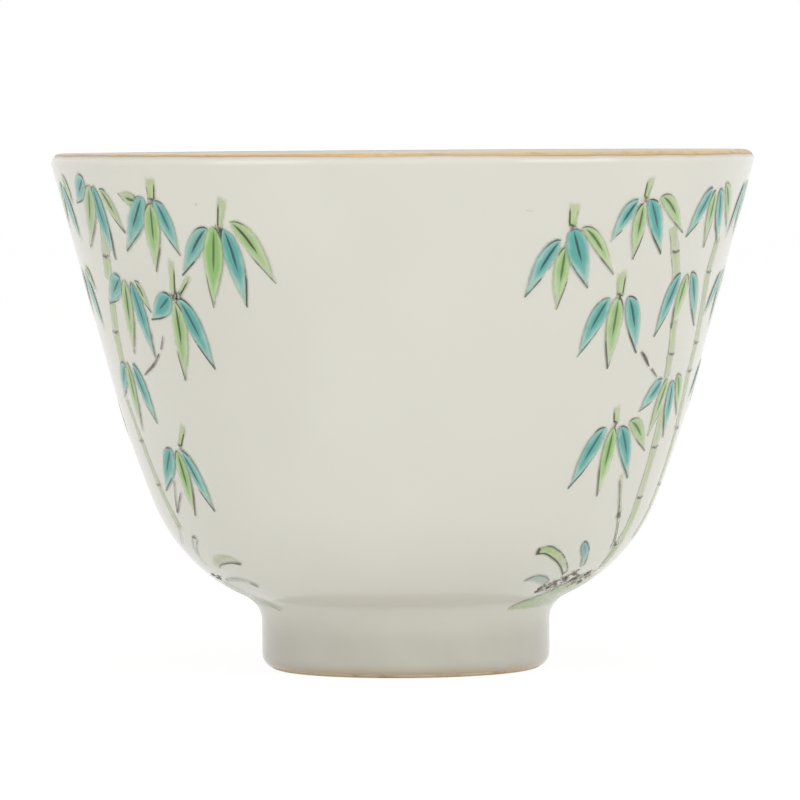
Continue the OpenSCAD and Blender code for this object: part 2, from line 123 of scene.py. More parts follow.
@dataclass(frozen=True)
class CupForm:
    """The turned form in millimetres: straight wall, flank, belly and cove, tangent to each other."""

    rim_d: float = 84.0
    cup_h: float = 62.0
    wall: float = 2.2
    flare: float = 15.2
    bend_h: float = 34.6
    flank_r: float = 130.0
    belly_lean: float = 22.0
    belly_r: float = 20.4
    foot_d: float = 34.5
    cove_r: float = 3.6
    foot_round: float = 2.0
    bare_h: float = 0.5
    glaze_t: float = 0.25
    gilt_t: float = 0.08

    @property
    def lip_r(self) -> float:
        """Radius of the round lip."""
        return self.wall / 2

    @cached_property
    def lip_c(self) -> Point:
        """Middle of the round lip."""
        return self.rim_d / 2 - self.lip_r, self.cup_h - self.gilt_t - self.lip_r

    @cached_property
    def bend(self) -> Point:
        """Where the straight wall starts to curve in."""
        edge = arc(self.lip_c, self.lip_r, -self.flare, -self.flare, 1)[0]
        return edge[0] - (edge[1] - self.bend_h) * math.tan(math.radians(self.flare)), self.bend_h

    @cached_property
    def flank_c(self) -> Point:
        """Middle of the long curve of the flank."""
        return arc(self.bend, self.flank_r, 180 - self.flare, 180 - self.flare, 1)[0]

    @cached_property
    def belly_c(self) -> Point:
        """Middle of the round belly."""
        return arc(self.flank_c, self.flank_r - self.belly_r, -self.belly_lean, -self.belly_lean, 1)[0]

    @cached_property
    def cove_c(self) -> Point:
        """Middle of the hollow curve over the foot."""
        x = self.foot_d / 2 + self.cove_r
        return x, self.belly_c[1] - math.sqrt((self.belly_r + self.cove_r) ** 2 - (x - self.belly_c[0]) ** 2)

    @cached_property
    def belly_start(self) -> float:
        """Angle at which the belly leaves the cove, in degrees."""
        return math.degrees(math.atan2(self.cove_c[1] - self.belly_c[1], self.cove_c[0] - self.belly_c[0]))

    def wall_r(self, z: np.ndarray) -> np.ndarray:
        """Radius of the glazed outer wall.

        Args:
            z: Heights above the table.

        Returns:
            The radius at each height.
        """
        z = np.asarray(z, dtype=float)

        def curve(centre: Point, radius: float, way: int) -> np.ndarray:
            """Distance from the axis on a curve that lies outside or inside of its middle."""
            return centre[0] + way * np.sqrt(np.maximum(radius ** 2 - (z - centre[1]) ** 2, 0))

        belly_top = self.belly_c[1] - self.belly_r * math.sin(math.radians(self.belly_lean))
        belly_foot = self.belly_c[1] + self.belly_r * math.sin(math.radians(self.belly_start))
        straight = self.bend[0] + (z - self.bend[1]) * math.tan(math.radians(self.flare))
        return np.select(
            [z > self.bend[1], z > belly_top, z > belly_foot, z > self.cove_c[1]],
            [straight, curve(self.flank_c, self.flank_r, 1), curve(self.belly_c, self.belly_r, 1),
             curve(self.cove_c, self.cove_r, -1)],
            self.foot_d / 2,
        )

    def place(self, azimuth: np.ndarray, z: np.ndarray, lift: np.ndarray) -> np.ndarray:
        """Points on the outer wall.

        Args:
            azimuth: Degrees from the front, positive to the right.
            z: Heights above the table.
            lift: Distances off the glaze, along its normal.

        Returns:
            Rows of x, y and z in metres.
        """
        step = 0.05
        slope = (self.wall_r(z + step) - self.wall_r(z - step)) / (2 * step)
        size = np.hypot(1, slope)
        radius = self.wall_r(z) + lift / size
        turn = np.radians(azimuth)
        spots = np.stack([radius * np.sin(turn), -radius * np.cos(turn), z - lift * slope / size], axis=-1)
        return spots.reshape(-1, 3) * MM

    def coat(self, depth: float, grain: int) -> list[Point]:
        """The glazed section from the bare foot edge over the lip to the middle of the floor.

        Args:
            depth: Distance below the surface of the glaze.
            grain: How finely the curves are cut.

        Returns:
            Radius and height of each point.
        """
        round_r = self.foot_round - depth
        round_c = (self.foot_d / 2 - self.foot_round, round_r)
        bare = math.degrees(math.asin((self.bare_h - round_r) / round_r))
        outside = (
            arc(round_c, round_r, bare, 0, 2 * grain)
            + arc(self.cove_c, self.cove_r + depth, 180, self.belly_start + 180, 4 * grain)
            + arc(self.belly_c, self.belly_r - depth, self.belly_start, -self.belly_lean, 7 * grain)[1:]
            + arc(self.flank_c, self.flank_r - depth, -self.belly_lean, -self.flare, 3 * grain)[1:]
        )
        lip = arc(self.lip_c, self.lip_r - depth, -self.flare, 180 - self.flare, 5 * grain)
        inner_r = self.belly_r - self.wall + depth
        inside = (
            arc(self.flank_c, self.flank_r - self.wall + depth, -self.flare, -self.belly_lean, 3 * grain)
            + arc(self.belly_c, inner_r, -self.belly_lean, -90, 8 * grain)[1:]
        )
        return outside + lip + inside + [(0.0, inside[-1][1])]


class Tree:
    """Short ways to write the nodes of a material or of geometry."""

    def __init__(self, tree: bpy.types.NodeTree) -> None:
        """Write into a node tree.

        Args:
            tree: The tree.
        """
        self.tree = tree

    def add(self, kind: str, settings: dict | None = None, **inputs: object) -> bpy.types.Node:
        """Add a node.

        Args:
            kind: Its type name.
            settings: Values of its own properties.
            inputs: Values or sockets for its inputs, with underscores for spaces.

        Returns:
            The node.
        """
        node = self.tree.nodes.new(kind)
        for key, value in (settings or {}).items():
            setattr(node, key, value)
        for key, value in inputs.items():
            self.feed(node.inputs[key.replace("_", " ")], value)
        return node

    def feed(self, socket: bpy.types.NodeSocket, value: object) -> None:
        """Link a socket to another, or set its value.

        Args:
            socket: The input.
            value: A socket, a value, or None to leave it.
        """
        if isinstance(value, bpy.types.NodeSocket):
            self.tree.links.new(value, socket)
        elif value is not None:
            socket.default_value = value

    def math(self, operation: str, first: object, second: object = None) -> bpy.types.NodeSocket:
        """Work out one or two numbers.

        Args:
            operation: Name of the sum.
            first, second: Values or sockets.

        Returns:
            The result.
        """
        node = self.add("ShaderNodeMath", {"operation": operation})
        self.feed(node.inputs[0], first)
        self.feed(node.inputs[1], second)
        return node.outputs[0]

    def seen(self) -> bpy.types.NodeSocket:
        """Tell the rays that show a surface from those that only light the scene.

        Returns:
            1 for the camera, for reflections and through clear pieces, and 0 otherwise.
        """
        rays = self.add("ShaderNodeLightPath").outputs
        shown = self.math("MAXIMUM", rays["Is Camera Ray"], rays["Is Glossy Ray"])
        return self.math("MAXIMUM", shown, rays["Is Transmission Ray"])


class Graph(Tree):
    """A material's nodes."""

    def __init__(self, name: str) -> None:
        """Start a material with only its output.

        Args:
            name: Name of the material.
        """
        self.material = bpy.data.materials.new(name)
        self.material.use_nodes = True
        super().__init__(self.material.node_tree)
        self.tree.nodes.clear()
        self.output = self.tree.nodes.new("ShaderNodeOutputMaterial")

    def step(self, value: object, low: float, high: float) -> bpy.types.NodeSocket:
        """Step softly from 0 to 1.

        Args:
            value: What is stepped.
            low, high: Where the step starts and ends.

        Returns:
            The step.
        """
        node = self.add("ShaderNodeMapRange", {"interpolation_type": "SMOOTHSTEP"}, Value=value)
        node.inputs["From Min"].default_value = low
        node.inputs["From Max"].default_value = high
        return node.outputs[0]

    def fall(self, value: object, low: float, high: float) -> bpy.types.NodeSocket:
        """Step softly from 1 to 0."""
        return self.math("SUBTRACT", 1.0, self.step(value, low, high))

    def scaled(self, value: object, factor: float, offset: float) -> bpy.types.NodeSocket:
        """A number times a factor plus an offset."""
        return self.math("ADD", self.math("MULTIPLY", value, factor), offset)

    def blend(self, share: object, first: object, second: object) -> bpy.types.NodeSocket:
        """Mix two colours.

        Args:
            share: Share of the second.
            first, second: Colours or sockets.

        Returns:
            The mix.
        """
        node = self.add("ShaderNodeMix", {"data_type": "RGBA"})
        for socket, value in zip((node.inputs[0], node.inputs[6], node.inputs[7]), (share, first, second)):
            self.feed(socket, value)
        return node.outputs[2]

    def attribute(self, name: str) -> bpy.types.NodeSocket:
        """A number stored on the mesh."""
        return self.add("ShaderNodeAttribute", {"attribute_name": name}).outputs["Fac"]

    def place(self) -> bpy.types.NodeSocket:
        """The place on the piece, in metres."""
        return self.add("ShaderNodeTexCoord").outputs["Object"]

    def height(self) -> bpy.types.NodeSocket:
        """Height above the table, in millimetres."""
        z = self.add("ShaderNodeSeparateXYZ", Vector=self.place()).outputs["Z"]
        return self.math("DIVIDE", z, MM)

    def noise(self, size: float, detail: float, seed: object) -> bpy.types.NodeSocket:
        """Noise of about the given grain.

        Args:
            size: Grain in millimetres.
            detail: Octaves of finer noise.
            seed: Offset that changes the pattern.

        Returns:
            Values round 0.5.
        """
        node = self.add("ShaderNodeTexNoise", {"noise_dimensions": "4D"}, Vector=self.place(), W=seed)
        node.inputs["Scale"].default_value = 1 / (size * MM)
        node.inputs["Detail"].default_value = detail
        return node.outputs["Fac"]

    def jitter(self, size: float, seed: object, reach: float) -> bpy.types.NodeSocket:
        """Noise round zero.

        Args:
            size: Grain in millimetres.
            seed: Offset that changes the pattern.
            reach: Its full span.

        Returns:
            Values from about minus to plus half of the span.
        """
        return self.scaled(self.noise(size, 3.0, seed), reach, -reach / 2)

    def specks(self, spacing: float, radius: float, seed: float) -> bpy.types.NodeSocket:
        """Sparse round specks.

        Args:
            spacing: Mean distance between them, in millimetres.
            radius: Radius of the largest, in millimetres.
            seed: Offset that changes the pattern.

        Returns:
            1 in a speck and 0 elsewhere.
        """
        cells = self.add("ShaderNodeTexVoronoi", {"voronoi_dimensions": "4D"}, Vector=self.place(), W=seed)
        cells.inputs["Scale"].default_value = 1 / (spacing * MM)
        pick = self.add("ShaderNodeSeparateColor", Color=cells.outputs["Color"]).outputs["Red"]
        size = self.math("MULTIPLY", self.step(pick, 0.55, 1.0), radius / spacing)
        depth = self.math("SUBTRACT", size, cells.outputs["Distance"])
        return self.step(depth, 0.0, 0.3 * radius / spacing)

    def bump(self, height: object, depth: float) -> bpy.types.NodeSocket:
        """A bumpy normal.

        Args:
            height: Height field from 0 to 1.
            depth: Its full height in millimetres.

        Returns:
            The normal.
        """
        node = self.add("ShaderNodeBump", Height=height)
        node.inputs["Distance"].default_value = depth * MM
        return node.outputs[0]

    def surface(self, **inputs: object) -> bpy.types.Material:
        """Finish with a Principled surface.

        Args:
            inputs: Values or sockets for the shader.

        Returns:
            The material.
        """
        shader = self.add("ShaderNodeBsdfPrincipled", **inputs)
        self.tree.links.new(shader.outputs[0], self.output.inputs[0])
        return self.material


@dataclass(frozen=True)
class GlazeFinish:
    """Clear glaze over white porcelain, greyer and greener where it runs thick low on the wall; that
    darkening towards the foot is partly pooled glaze and partly painted shade.
    """

    white: Colour = linear(225, 223, 212)
    grey: Colour = linear(220, 218, 208)
    # Colour low on the wall: pooled glaze, darkened further as painted shade.
    pooled_glaze_and_shade: Colour = linear(195, 192, 181)
    iron: Colour = linear(176, 150, 112)
    tan: Colour = linear(202, 182, 154)
    pool_and_shade_top: float = 10.0
    pool_and_shade_low: float = 4.0
    tan_top: float = 1.6
    ior: float = 1.42
    skin_depth: float = 0.03

    def material(self, name: str) -> bpy.types.Material:
        """Build the glaze.

        Args:
            name: Name of the material.

        Returns:
            The material.
        """
        g = Graph(name)
        colour = g.blend(g.step(g.noise(30.0, 2.0, 1.7), 0.35, 0.65), self.white, self.grey)
        # Darker towards the foot: partly glaze pooled thick there, partly painted shade.
        low = g.fall(g.height(), self.pool_and_shade_low, self.pool_and_shade_top)
        mottled_pool_and_shade = g.math("MULTIPLY", low, g.scaled(g.noise(7.0, 3.0, 4.1), 0.6, 0.6))
        colour = g.blend(mottled_pool_and_shade, colour, self.pooled_glaze_and_shade)
        edge = g.fall(g.math("ADD", g.height(), g.jitter(4.0, 6.0, 1.2)), 0.2, self.tan_top)
        colour = g.blend(g.math("MULTIPLY", edge, 0.8), colour, self.tan)
        colour = g.blend(g.math("MULTIPLY", g.specks(17.0, 0.4, 2.4), 0.5), colour, self.iron)
        skin = g.math("ADD", g.noise(5.0, 2.0, 8.0), g.math("MULTIPLY", g.noise(0.8, 1.0, 3.0), 0.1))
        rough = g.scaled(g.noise(12.0, 3.0, 5.0), 0.1, 0.1)
        normal = g.bump(skin, self.skin_depth)
        return g.surface(Base_Color=colour, Roughness=rough, IOR=self.ior, Normal=normal)


@dataclass(frozen=True)
class BareClayFinish:
    """Fired clay that the glaze was wiped from, stained tan at the edge."""

    clay: Colour = linear(236, 216, 184)
    stain: Colour = linear(214, 186, 148)
    grain_depth: float = 0.03

    def material(self, name: str) -> bpy.types.Material:
        """Build the bare clay.

        Args:
            name: Name of the material.

        Returns:
            The material.
        """
        g = Graph(name)
        colour = g.blend(g.step(g.noise(2.2, 4.0, 1.0), 0.42, 0.72), self.clay, self.stain)
        grain = g.noise(0.25, 4.0, 6.0)
        rough, normal = g.scaled(grain, 0.25, 0.6), g.bump(grain, self.grain_depth)
        return g.surface(Base_Color=colour, Roughness=rough, Normal=normal)


@dataclass(frozen=True)
class GiltFinish:
    """Thin gilding with a wavering lower edge, rubbed through in places, and darker along that lower edge as
    painted shade.
    """

    gold: Colour = linear(220, 190, 138)
    # Darker gold for random wear and for painted shade along the lower edge.
    worn_and_shaded_gold: Colour = linear(184, 146, 98)
    halo: Colour = linear(220, 200, 184)
    lip_mid: float = 40.9
    edge_h: float = 61.56
    slant: float = 0.004
    waver: float = 0.3
    soft: float = 0.1
    halo_h: float = 0.5

    def material(self, name: str) -> bpy.types.Material:
        """Build the gilding.

        Args:
            name: Name of the material.

        Returns:
            The material.
        """
        g = Graph(name)
        spot = g.add("ShaderNodeSeparateXYZ", Vector=g.place()).outputs
        drift = g.math("ADD", g.jitter(9.0, 3.0, self.waver), g.math("MULTIPLY", spot["X"], self.slant / MM))
        above = g.math("SUBTRACT", g.math("ADD", g.height(), drift), self.edge_h)
        across = g.math("ADD", g.math("POWER", spot["X"], 2.0), g.math("POWER", spot["Y"], 2.0))
        outward = g.math("SUBTRACT", g.math("DIVIDE", g.math("SQRT", across), MM), self.lip_mid)
        rubbed = g.scaled(g.step(g.noise(2.4, 3.0, 9.0), 0.3, 0.5), 0.2, 0.75)
        rubbed = g.math("MULTIPLY", rubbed, g.scaled(g.step(outward, -0.3, 0.3), 0.85, 0.15))
        full = g.step(above, -self.soft, self.soft)
        tinge = g.math("MULTIPLY", g.step(above, -self.halo_h, self.soft), 0.4)
        alpha = g.math("MULTIPLY", g.math("MAXIMUM", full, tinge), rubbed)
        # Painted shade: the gilding is darkened along its lower edge, mixed with random darker wear.
        shaded_low_edge = g.fall(above, 0.0, 0.28)
        wear_and_edge_shade = g.math("MAXIMUM", shaded_low_edge, g.step(g.noise(9.0, 2.0, 5.0), 0.45, 0.7))
        colour = g.blend(g.math("MULTIPLY", wear_and_edge_shade, 0.8), self.gold, self.worn_and_shaded_gold)
        colour = g.blend(full, self.halo, colour)
        rough = g.scaled(g.noise(1.0, 3.0, 2.0), 0.25, 0.25)
        shine = g.math("MULTIPLY", full, 0.5)
        return g.surface(Base_Color=colour, Metallic=shine, Roughness=rough, Alpha=alpha)


TRAITS = ("edge", "across", "along", "seed", "tone", "left", "right", "rib", "shift", "cap")


@dataclass(frozen=True)
class EnamelFinish:
    """Translucent enamel brushed over ink lines.

    The mesh carries the distance inside the outline, the distance from the middle line and the share of the
    length, all in the stroke's own frame, so that wash, outline and midrib follow each stroke.
    """

    light: Colour
    dark: Colour
    rib: Colour = linear(70, 66, 44)
    ink: Colour = linear(76, 65, 57)
    thin_ink: Colour = linear(140, 114, 96)
    line_w: float = 0.1
    rib_w: float = 0.17
    bleed: float = 0.26
    body: float = 0.95
    core: float = 0.9
    ior: float = 1.5

    def material(self, name: str) -> bpy.types.Material:
        """Build the enamel.

        Args:
            name: Name of the material.

        Returns:
            The material.
        """
        g = Graph(name)
        edge, across, along = g.attribute("edge"), g.attribute("across"), g.attribute("along")
        seed, cap = g.attribute("seed"), g.attribute("cap")
        wander = g.jitter(2.4, g.math("ADD", seed, 3.0), 0.12)
        leftward = g.step(across, -0.03, 0.03)
        shift = g.math("MULTIPLY", g.attribute("shift"), g.scaled(leftward, 2.0, -1.0))
        inside = g.math("ADD", g.math("ADD", edge, g.jitter(0.8, seed, 0.3)), shift)
        full = g.math("MULTIPLY", g.step(g.attribute("tone"), -0.8, 0.8), self.body)
        wash = g.math("MULTIPLY", g.step(inside, -self.bleed, self.bleed), full)
        colour = self.wash_colour(g, edge, along, seed)

        side = g.add("ShaderNodeMix", {"data_type": "FLOAT"}, Factor=leftward)
        g.feed(side.inputs[2], g.attribute("right"))
        g.feed(side.inputs[3], g.attribute("left"))
        strength = side.outputs[0]
        reach = g.math("MULTIPLY", g.scaled(strength, 0.65, 0.35), self.line_w)
        off_line = g.math("ABSOLUTE", g.math("ADD", edge, wander))
        near = g.step(g.math("SUBTRACT", reach, off_line), -0.06, 0.05)
        dry = g.step(g.noise(1.3, 3.0, g.math("ADD", seed, 11.0)), 0.38, 0.54)
        whole = g.math("MAXIMUM", dry, g.step(strength, 0.75, 0.95))
        inner = g.math("MULTIPLY", g.step(along, 0.0, 0.06), g.fall(along, 0.94, 1.0))
        capped = g.math("MAXIMUM", inner, cap)
        line = g.math("MULTIPLY", g.math("MULTIPLY", near, strength), g.math("MULTIPLY", whole, capped))

        swell = g.fall(g.math("ABSOLUTE", g.math("SUBTRACT", along, 0.3)), 0.08, 0.32)
        off_rib = g.math("ABSOLUTE", g.math("ADD", across, wander))
        rib = g.step(g.math("SUBTRACT", g.math("MULTIPLY", swell, self.rib_w), off_rib), -0.05, 0.06)
        rib = g.math("MULTIPLY", g.math("MULTIPLY", rib, g.attribute("rib")), g.step(swell, 0.02, 0.3))

        colour = g.blend(g.math("MULTIPLY", rib, 0.95), colour, self.rib)
        colour = g.blend(line, colour, g.blend(g.step(strength, 0.3, 0.9), self.thin_ink, self.ink))
        alpha = g.math("MAXIMUM", wash, g.math("MULTIPLY", line, 0.95))
        rough = g.scaled(g.noise(1.5, 3.0, 2.0), 0.15, 0.12)
        return g.surface(Base_Color=colour, Roughness=rough, IOR=self.ior, Alpha=alpha)

    def wash_colour(
        self, g: Graph, edge: bpy.types.NodeSocket, along: bpy.types.NodeSocket, seed: bpy.types.NodeSocket
    ) -> bpy.types.NodeSocket:
        """Colour of the wash, deepest in the core and towards the joint.

        Args:
            g: The material's nodes.
            edge, along, seed: What the mesh carries.

        Returns:
            The colour.
        """
        depth = g.step(edge, 0.0, self.core)
        pool = g.step(g.noise(1.8, 3.0, g.math("ADD", seed, 7.0)), 0.3, 0.7)
        share = g.math("ADD", g.math("MULTIPLY", depth, 0.6), g.math("MULTIPLY", pool, 0.3))
        share = g.math("ADD", share, g.math("MULTIPLY", g.fall(along, 0.25, 0.95), 0.25))
        share = g.math("MULTIPLY", share, g.scaled(g.attribute("tone"), 1.0, 0.25))
        return g.blend(g.step(share, 0.05, 1.05), self.light, self.dark)


@dataclass(frozen=True)
class InkFinish:
    """Dark brown ink lines, paler where the brush ran dry."""

    ink: Colour = linear(70, 61, 54)
    thin: Colour = linear(124, 106, 90)
    soft: float = 0.08
    rough: float = 0.3

    def material(self, name: str) -> bpy.types.Material:
        """Build the ink.

        Args:
            name: Name of the material.

        Returns:
            The material.
        """
        g = Graph(name)
        seed, tone = g.attribute("seed"), g.attribute("tone")
        cover = g.step(g.math("ADD", g.attribute("edge"), g.jitter(0.5, seed, 0.1)), -self.soft, self.soft)
        dry = g.step(g.noise(1.2, 3.0, g.math("ADD", seed, 5.0)), 0.35, 0.6)
        colour = g.blend(g.math("MULTIPLY", dry, tone), self.thin, self.ink)
        alpha = g.math("MULTIPLY", g.math("MULTIPLY", cover, g.scaled(dry, 0.25, 0.72)), tone)
        return g.surface(Base_Color=colour, Roughness=self.rough, Alpha=alpha)


@dataclass(frozen=True)
class MossFinish:
    """Dabs of moss, from brown to olive."""

    brown: Colour = linear(124, 113, 101)
    olive: Colour = linear(170, 169, 145)
    rough: float = 0.35

    def material(self, name: str) -> bpy.types.Material:
        """Build the moss.

        Args:
            name: Name of the material.

        Returns:
            The material.
        """
        g = Graph(name)
        colour = g.blend(g.step(g.noise(0.9, 3.0, 2.0), 0.42, 0.62), self.brown, self.olive)
        alpha = g.scaled(g.noise(0.6, 2.0, 4.0), 0.7, 0.3)
        return g.surface(Base_Color=colour, Roughness=self.rough, Alpha=alpha)


def mesh_piece(
    name: str, verts: np.ndarray, faces: list[tuple[int, ...]], material: bpy.types.Material,
    stored: dict[str, np.ndarray],
) -> bpy.types.Object:
    """Make an object from vertices, faces and numbers at its points.

    Args:
        name: Name of the piece.
        verts: Rows of places in metres.
        faces: Lists of vertex numbers.
        material: Its material.
        stored: Numbers for each vertex, by name.

    Returns:
        The object, at the origin.
    """
    mesh = bpy.data.meshes.new(name)
    mesh.from_pydata(verts, [], faces)
    for key, values in stored.items():
        numbers = mesh.attributes.new(key, "FLOAT", "POINT").data
        numbers.foreach_set("value", np.asarray(values, dtype=np.float32))
    mesh.polygons.foreach_set("use_smooth", [True] * len(mesh.polygons))
    mesh.materials.append(material)
    mesh.update()
    piece = bpy.data.objects.new(name, mesh)
    bpy.context.scene.collection.objects.link(piece)
    return piece


def ride(piece: bpy.types.Object) -> bpy.types.Object:
    """Let a piece ride on the cup's root body."""
    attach(piece, "root")
    return piece


def stand_for(piece: bpy.types.Object, node: str) -> bpy.types.Object:
    """Let a piece stand for a CAD node."""
    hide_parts(node)
    return ride(piece)


class GeometryTree(Tree):
    """Geometry Nodes with named inputs, run once on a mesh."""

    def __init__(self, name: str, inputs: dict[str, str]) -> None:
        """Start a tree.

        Args:
            name: Name of the tree.
            inputs: Socket type of each named input.
        """
        super().__init__(bpy.data.node_groups.new(name, "GeometryNodeTree"))
        sockets = self.tree.interface
        sockets.new_socket("Geometry", in_out="INPUT", socket_type="NodeSocketGeometry")
        self.keys = {
            label: sockets.new_socket(label, in_out="INPUT", socket_type=kind).identifier
            for label, kind in inputs.items()
        }
        sockets.new_socket("Geometry", in_out="OUTPUT", socket_type="NodeSocketGeometry")
        self.source = self.tree.nodes.new("NodeGroupInput")
        self.sink = self.tree.nodes.new("NodeGroupOutput")

    def finish(self, geometry: bpy.types.NodeSocket) -> None:
        """End the tree in plain geometry with its material.

        Args:
            geometry: What the tree made.
        """
        real = self.add("GeometryNodeRealizeInstances", Geometry=geometry)
        dressed = self.add(
            "GeometryNodeSetMaterial", Geometry=real.outputs[0], Material=self.source.outputs["Material"]
        )
        self.tree.links.new(dressed.outputs[0], self.sink.inputs[0])

    def run(self, name: str, mesh: bpy.types.Mesh, values: dict[str, object]) -> bpy.types.Object:
        """Run the tree on a mesh.

        Args:
            name: Name of the piece.
            mesh: What goes in.
            values: Value of each named input.

        Returns:
            The piece as a plain mesh, at the origin.
        """
        holder = bpy.data.objects.new(name + "_source", mesh)
        bpy.context.scene.collection.objects.link(holder)
        modifier = holder.modifiers.new("tree", "NODES")
        modifier.node_group = self.tree
        for label, value in values.items():
            modifier[self.keys[label]] = value
        made = bpy.data.meshes.new_from_object(holder.evaluated_get(bpy.context.evaluated_depsgraph_get()))
        made.name = name
        holder.modifiers.remove(modifier)
        bpy.data.objects.remove(holder)
        piece = bpy.data.objects.new(name, made)
        bpy.context.scene.collection.objects.link(piece)
        return piece


def lathe_tree() -> GeometryTree:
    """Tree that turns a closed section about the cup's axis.

    Returns:
        A tree with the inputs Steps and Material.
    """
    t = GeometryTree("lathe", {"Steps": "NodeSocketInt", "Material": "NodeSocketMaterial"})
    section = t.source.outputs["Geometry"]
    count = t.add("GeometryNodeAttributeDomainSize", Geometry=section).outputs["Point Count"]
    around = t.math("ADD", t.source.outputs["Steps"], 1)
    grid = t.add("GeometryNodeMeshGrid", Size_X=1.0, Size_Y=1.0, Vertices_X=around, Vertices_Y=count)
    where = t.add("ShaderNodeSeparateXYZ", Vector=t.add("GeometryNodeInputPosition").outputs[0])
    turn = t.math("MULTIPLY", t.math("ADD", where.outputs["X"], 0.5), 2 * math.pi)
    along = t.math("MULTIPLY", t.math("ADD", where.outputs["Y"], 0.5), t.math("SUBTRACT", count, 1))
    sample = t.add("GeometryNodeSampleIndex", {"data_type": "FLOAT_VECTOR"}, Geometry=section)
    t.feed(sample.inputs["Value"], t.add("GeometryNodeInputPosition").outputs[0])
    t.feed(sample.inputs["Index"], t.math("ROUND", along))
    spot = t.add("ShaderNodeSeparateXYZ", Vector=sample.outputs[0])
    x = t.math("MULTIPLY", spot.outputs["X"], t.math("SINE", turn))
    y = t.math("MULTIPLY", t.math("MULTIPLY", spot.outputs["X"], t.math("COSINE", turn)), -1.0)
    turned = t.add("ShaderNodeCombineXYZ", X=x, Y=y, Z=spot.outputs["Z"])
    moved = t.add("GeometryNodeSetPosition", Geometry=grid.outputs["Mesh"], Position=turned.outputs[0])
    closed = t.add("GeometryNodeMergeByDistance", Geometry=moved.outputs[0], Distance=1e-6)
    t.finish(t.add("GeometryNodeSetShadeSmooth", Geometry=closed.outputs[0]).outputs[0])
    return t


def dabs_tree(form: tuple[float, float, float], sizes: Point) -> GeometryTree:
    """Tree that strews small flat dabs over a surface.

    Args:
        form: How far a dab reaches along, across and up.
        sizes: The least and the greatest dab, as shares of the input Size.

    Returns:
        A tree with the inputs Density, Size, Seed and Material.
    """
    t = GeometryTree("dabs", {
        "Density": "NodeSocketFloat", "Size": "NodeSocketFloat", "Seed": "NodeSocketInt",
        "Material": "NodeSocketMaterial",
    })
    spots = t.add(
        "GeometryNodeDistributePointsOnFaces", Mesh=t.source.outputs["Geometry"],
        Density=t.source.outputs["Density"], Seed=t.source.outputs["Seed"],
    )
    ball = t.add("GeometryNodeMeshIcoSphere", Radius=1.0, Subdivisions=2)
    dab = t.add("GeometryNodeTransform", Geometry=ball.outputs["Mesh"], Scale=form)
    share = t.add("FunctionNodeRandomValue", {"data_type": "FLOAT"}, Seed=t.source.outputs["Seed"])
    for socket, value in zip(share.inputs[2:4], sizes):
        socket.default_value = value
    size = t.math("MULTIPLY", share.outputs[1], t.source.outputs["Size"])
    strewn = t.add(
        "GeometryNodeInstanceOnPoints", Points=spots.outputs["Points"], Instance=dab.outputs[0],
        Rotation=spots.outputs["Rotation"], Scale=size,
    )
    t.finish(t.add("GeometryNodeSetShadeSmooth", Geometry=strewn.outputs[0]).outputs[0])
    return t


@dataclass
class Ware:
    """The turned cup: its glaze, its gilding and the bare clay of its foot."""

    form: CupForm
    frame: dict
    glaze: GlazeFinish = GlazeFinish()
    clay: BareClayFinish = BareClayFinish()
    gilt: GiltFinish = GiltFinish()
    steps: int = 192
    grain: int = 4
    gilt_drop: float = 0.9
    gilt_sunk: float = 0.05
    gilt_proud: float = 0.03

    def section_mesh(self, name: str, points: list[Point]) -> bpy.types.Mesh:
        """Make a mesh of a closed section.

        Args:
            name: Name of the mesh.
            points: Radius and height of each point, in millimetres.

        Returns:
            A mesh of points in order, the first repeated at the end.
        """
        mesh = bpy.data.meshes.new(name)
        mesh.from_pydata([(r * MM, 0, z * MM) for r, z in points + points[:1]], [], [])
        return mesh

    def build_glaze(self, lathe: GeometryTree) -> bpy.types.Object:
        """Turn the glaze coat.

        Args:
            lathe: Tree that turns a section.

        Returns:
            The piece.
        """
        section = self.form.coat(0.0, self.grain) + self.form.coat(self.form.glaze_t, self.grain // 2)[::-1]
        values = {"Steps": self.steps, "Material": self.glaze.material("glaze")}
        piece = lathe.run("glaze", self.section_mesh("glaze_section", section), values)
        return stand_for(piece, "glaze_coat")

    def build_gilding(self, lathe: GeometryTree) -> bpy.types.Object:
        """Turn the gilding over the lip.

        Args:
            lathe: Tree that turns a section.

        Returns:
            The piece.
        """
        form = self.form
        slope = math.radians(form.flare)
        low = self.gilt_drop * np.array([math.sin(slope), math.cos(slope)])
        first, last, cuts = -form.flare, 180 - form.flare, 5 * self.grain
        outer = arc(form.lip_c, form.lip_r + self.gilt_proud, first, last, cuts)
        inner = arc(form.lip_c, form.lip_r - self.gilt_sunk, first, last, cuts // 2)[::-1]
        section = [tuple(outer[0] - low)] + outer + inner + [tuple(inner[-1] - low)]
        values = {"Steps": self.steps, "Material": self.gilt.material("gilding")}
        piece = lathe.run("gilding", self.section_mesh("gilt_section", section), values)
        return stand_for(piece, "gilt_rim")

    def dress_nodes(self) -> None:
        """Give the bare clay and the foot well their finishes."""
        for node, material in (
            ("porcelain_body", self.clay.material("bare_clay")),
            ("foot_well_glaze", self.glaze.material("well_glaze")),
        ):
            data = self.frame["nodes"][node].data
            data.materials.clear()
            data.materials.append(material)


class Hue(Enum):
    """The two enamels of the leaves."""

    GREEN = "green"
    TURQUOISE = "turquoise"


@dataclass(frozen=True)
class Leaf:
    """A leaf in its spray's plane, in millimetres from the joint, with the depth of its colour."""

    hue: Hue
    start: Point
    tip: Point
    width: float
    bow: float = 0.0
    tone: float = 0.7


@dataclass(frozen=True)
class Spray:
    """Leaves that hang from one joint, from the front one back."""

    azimuth: float
    z: float
    leaves: tuple[Leaf, ...]


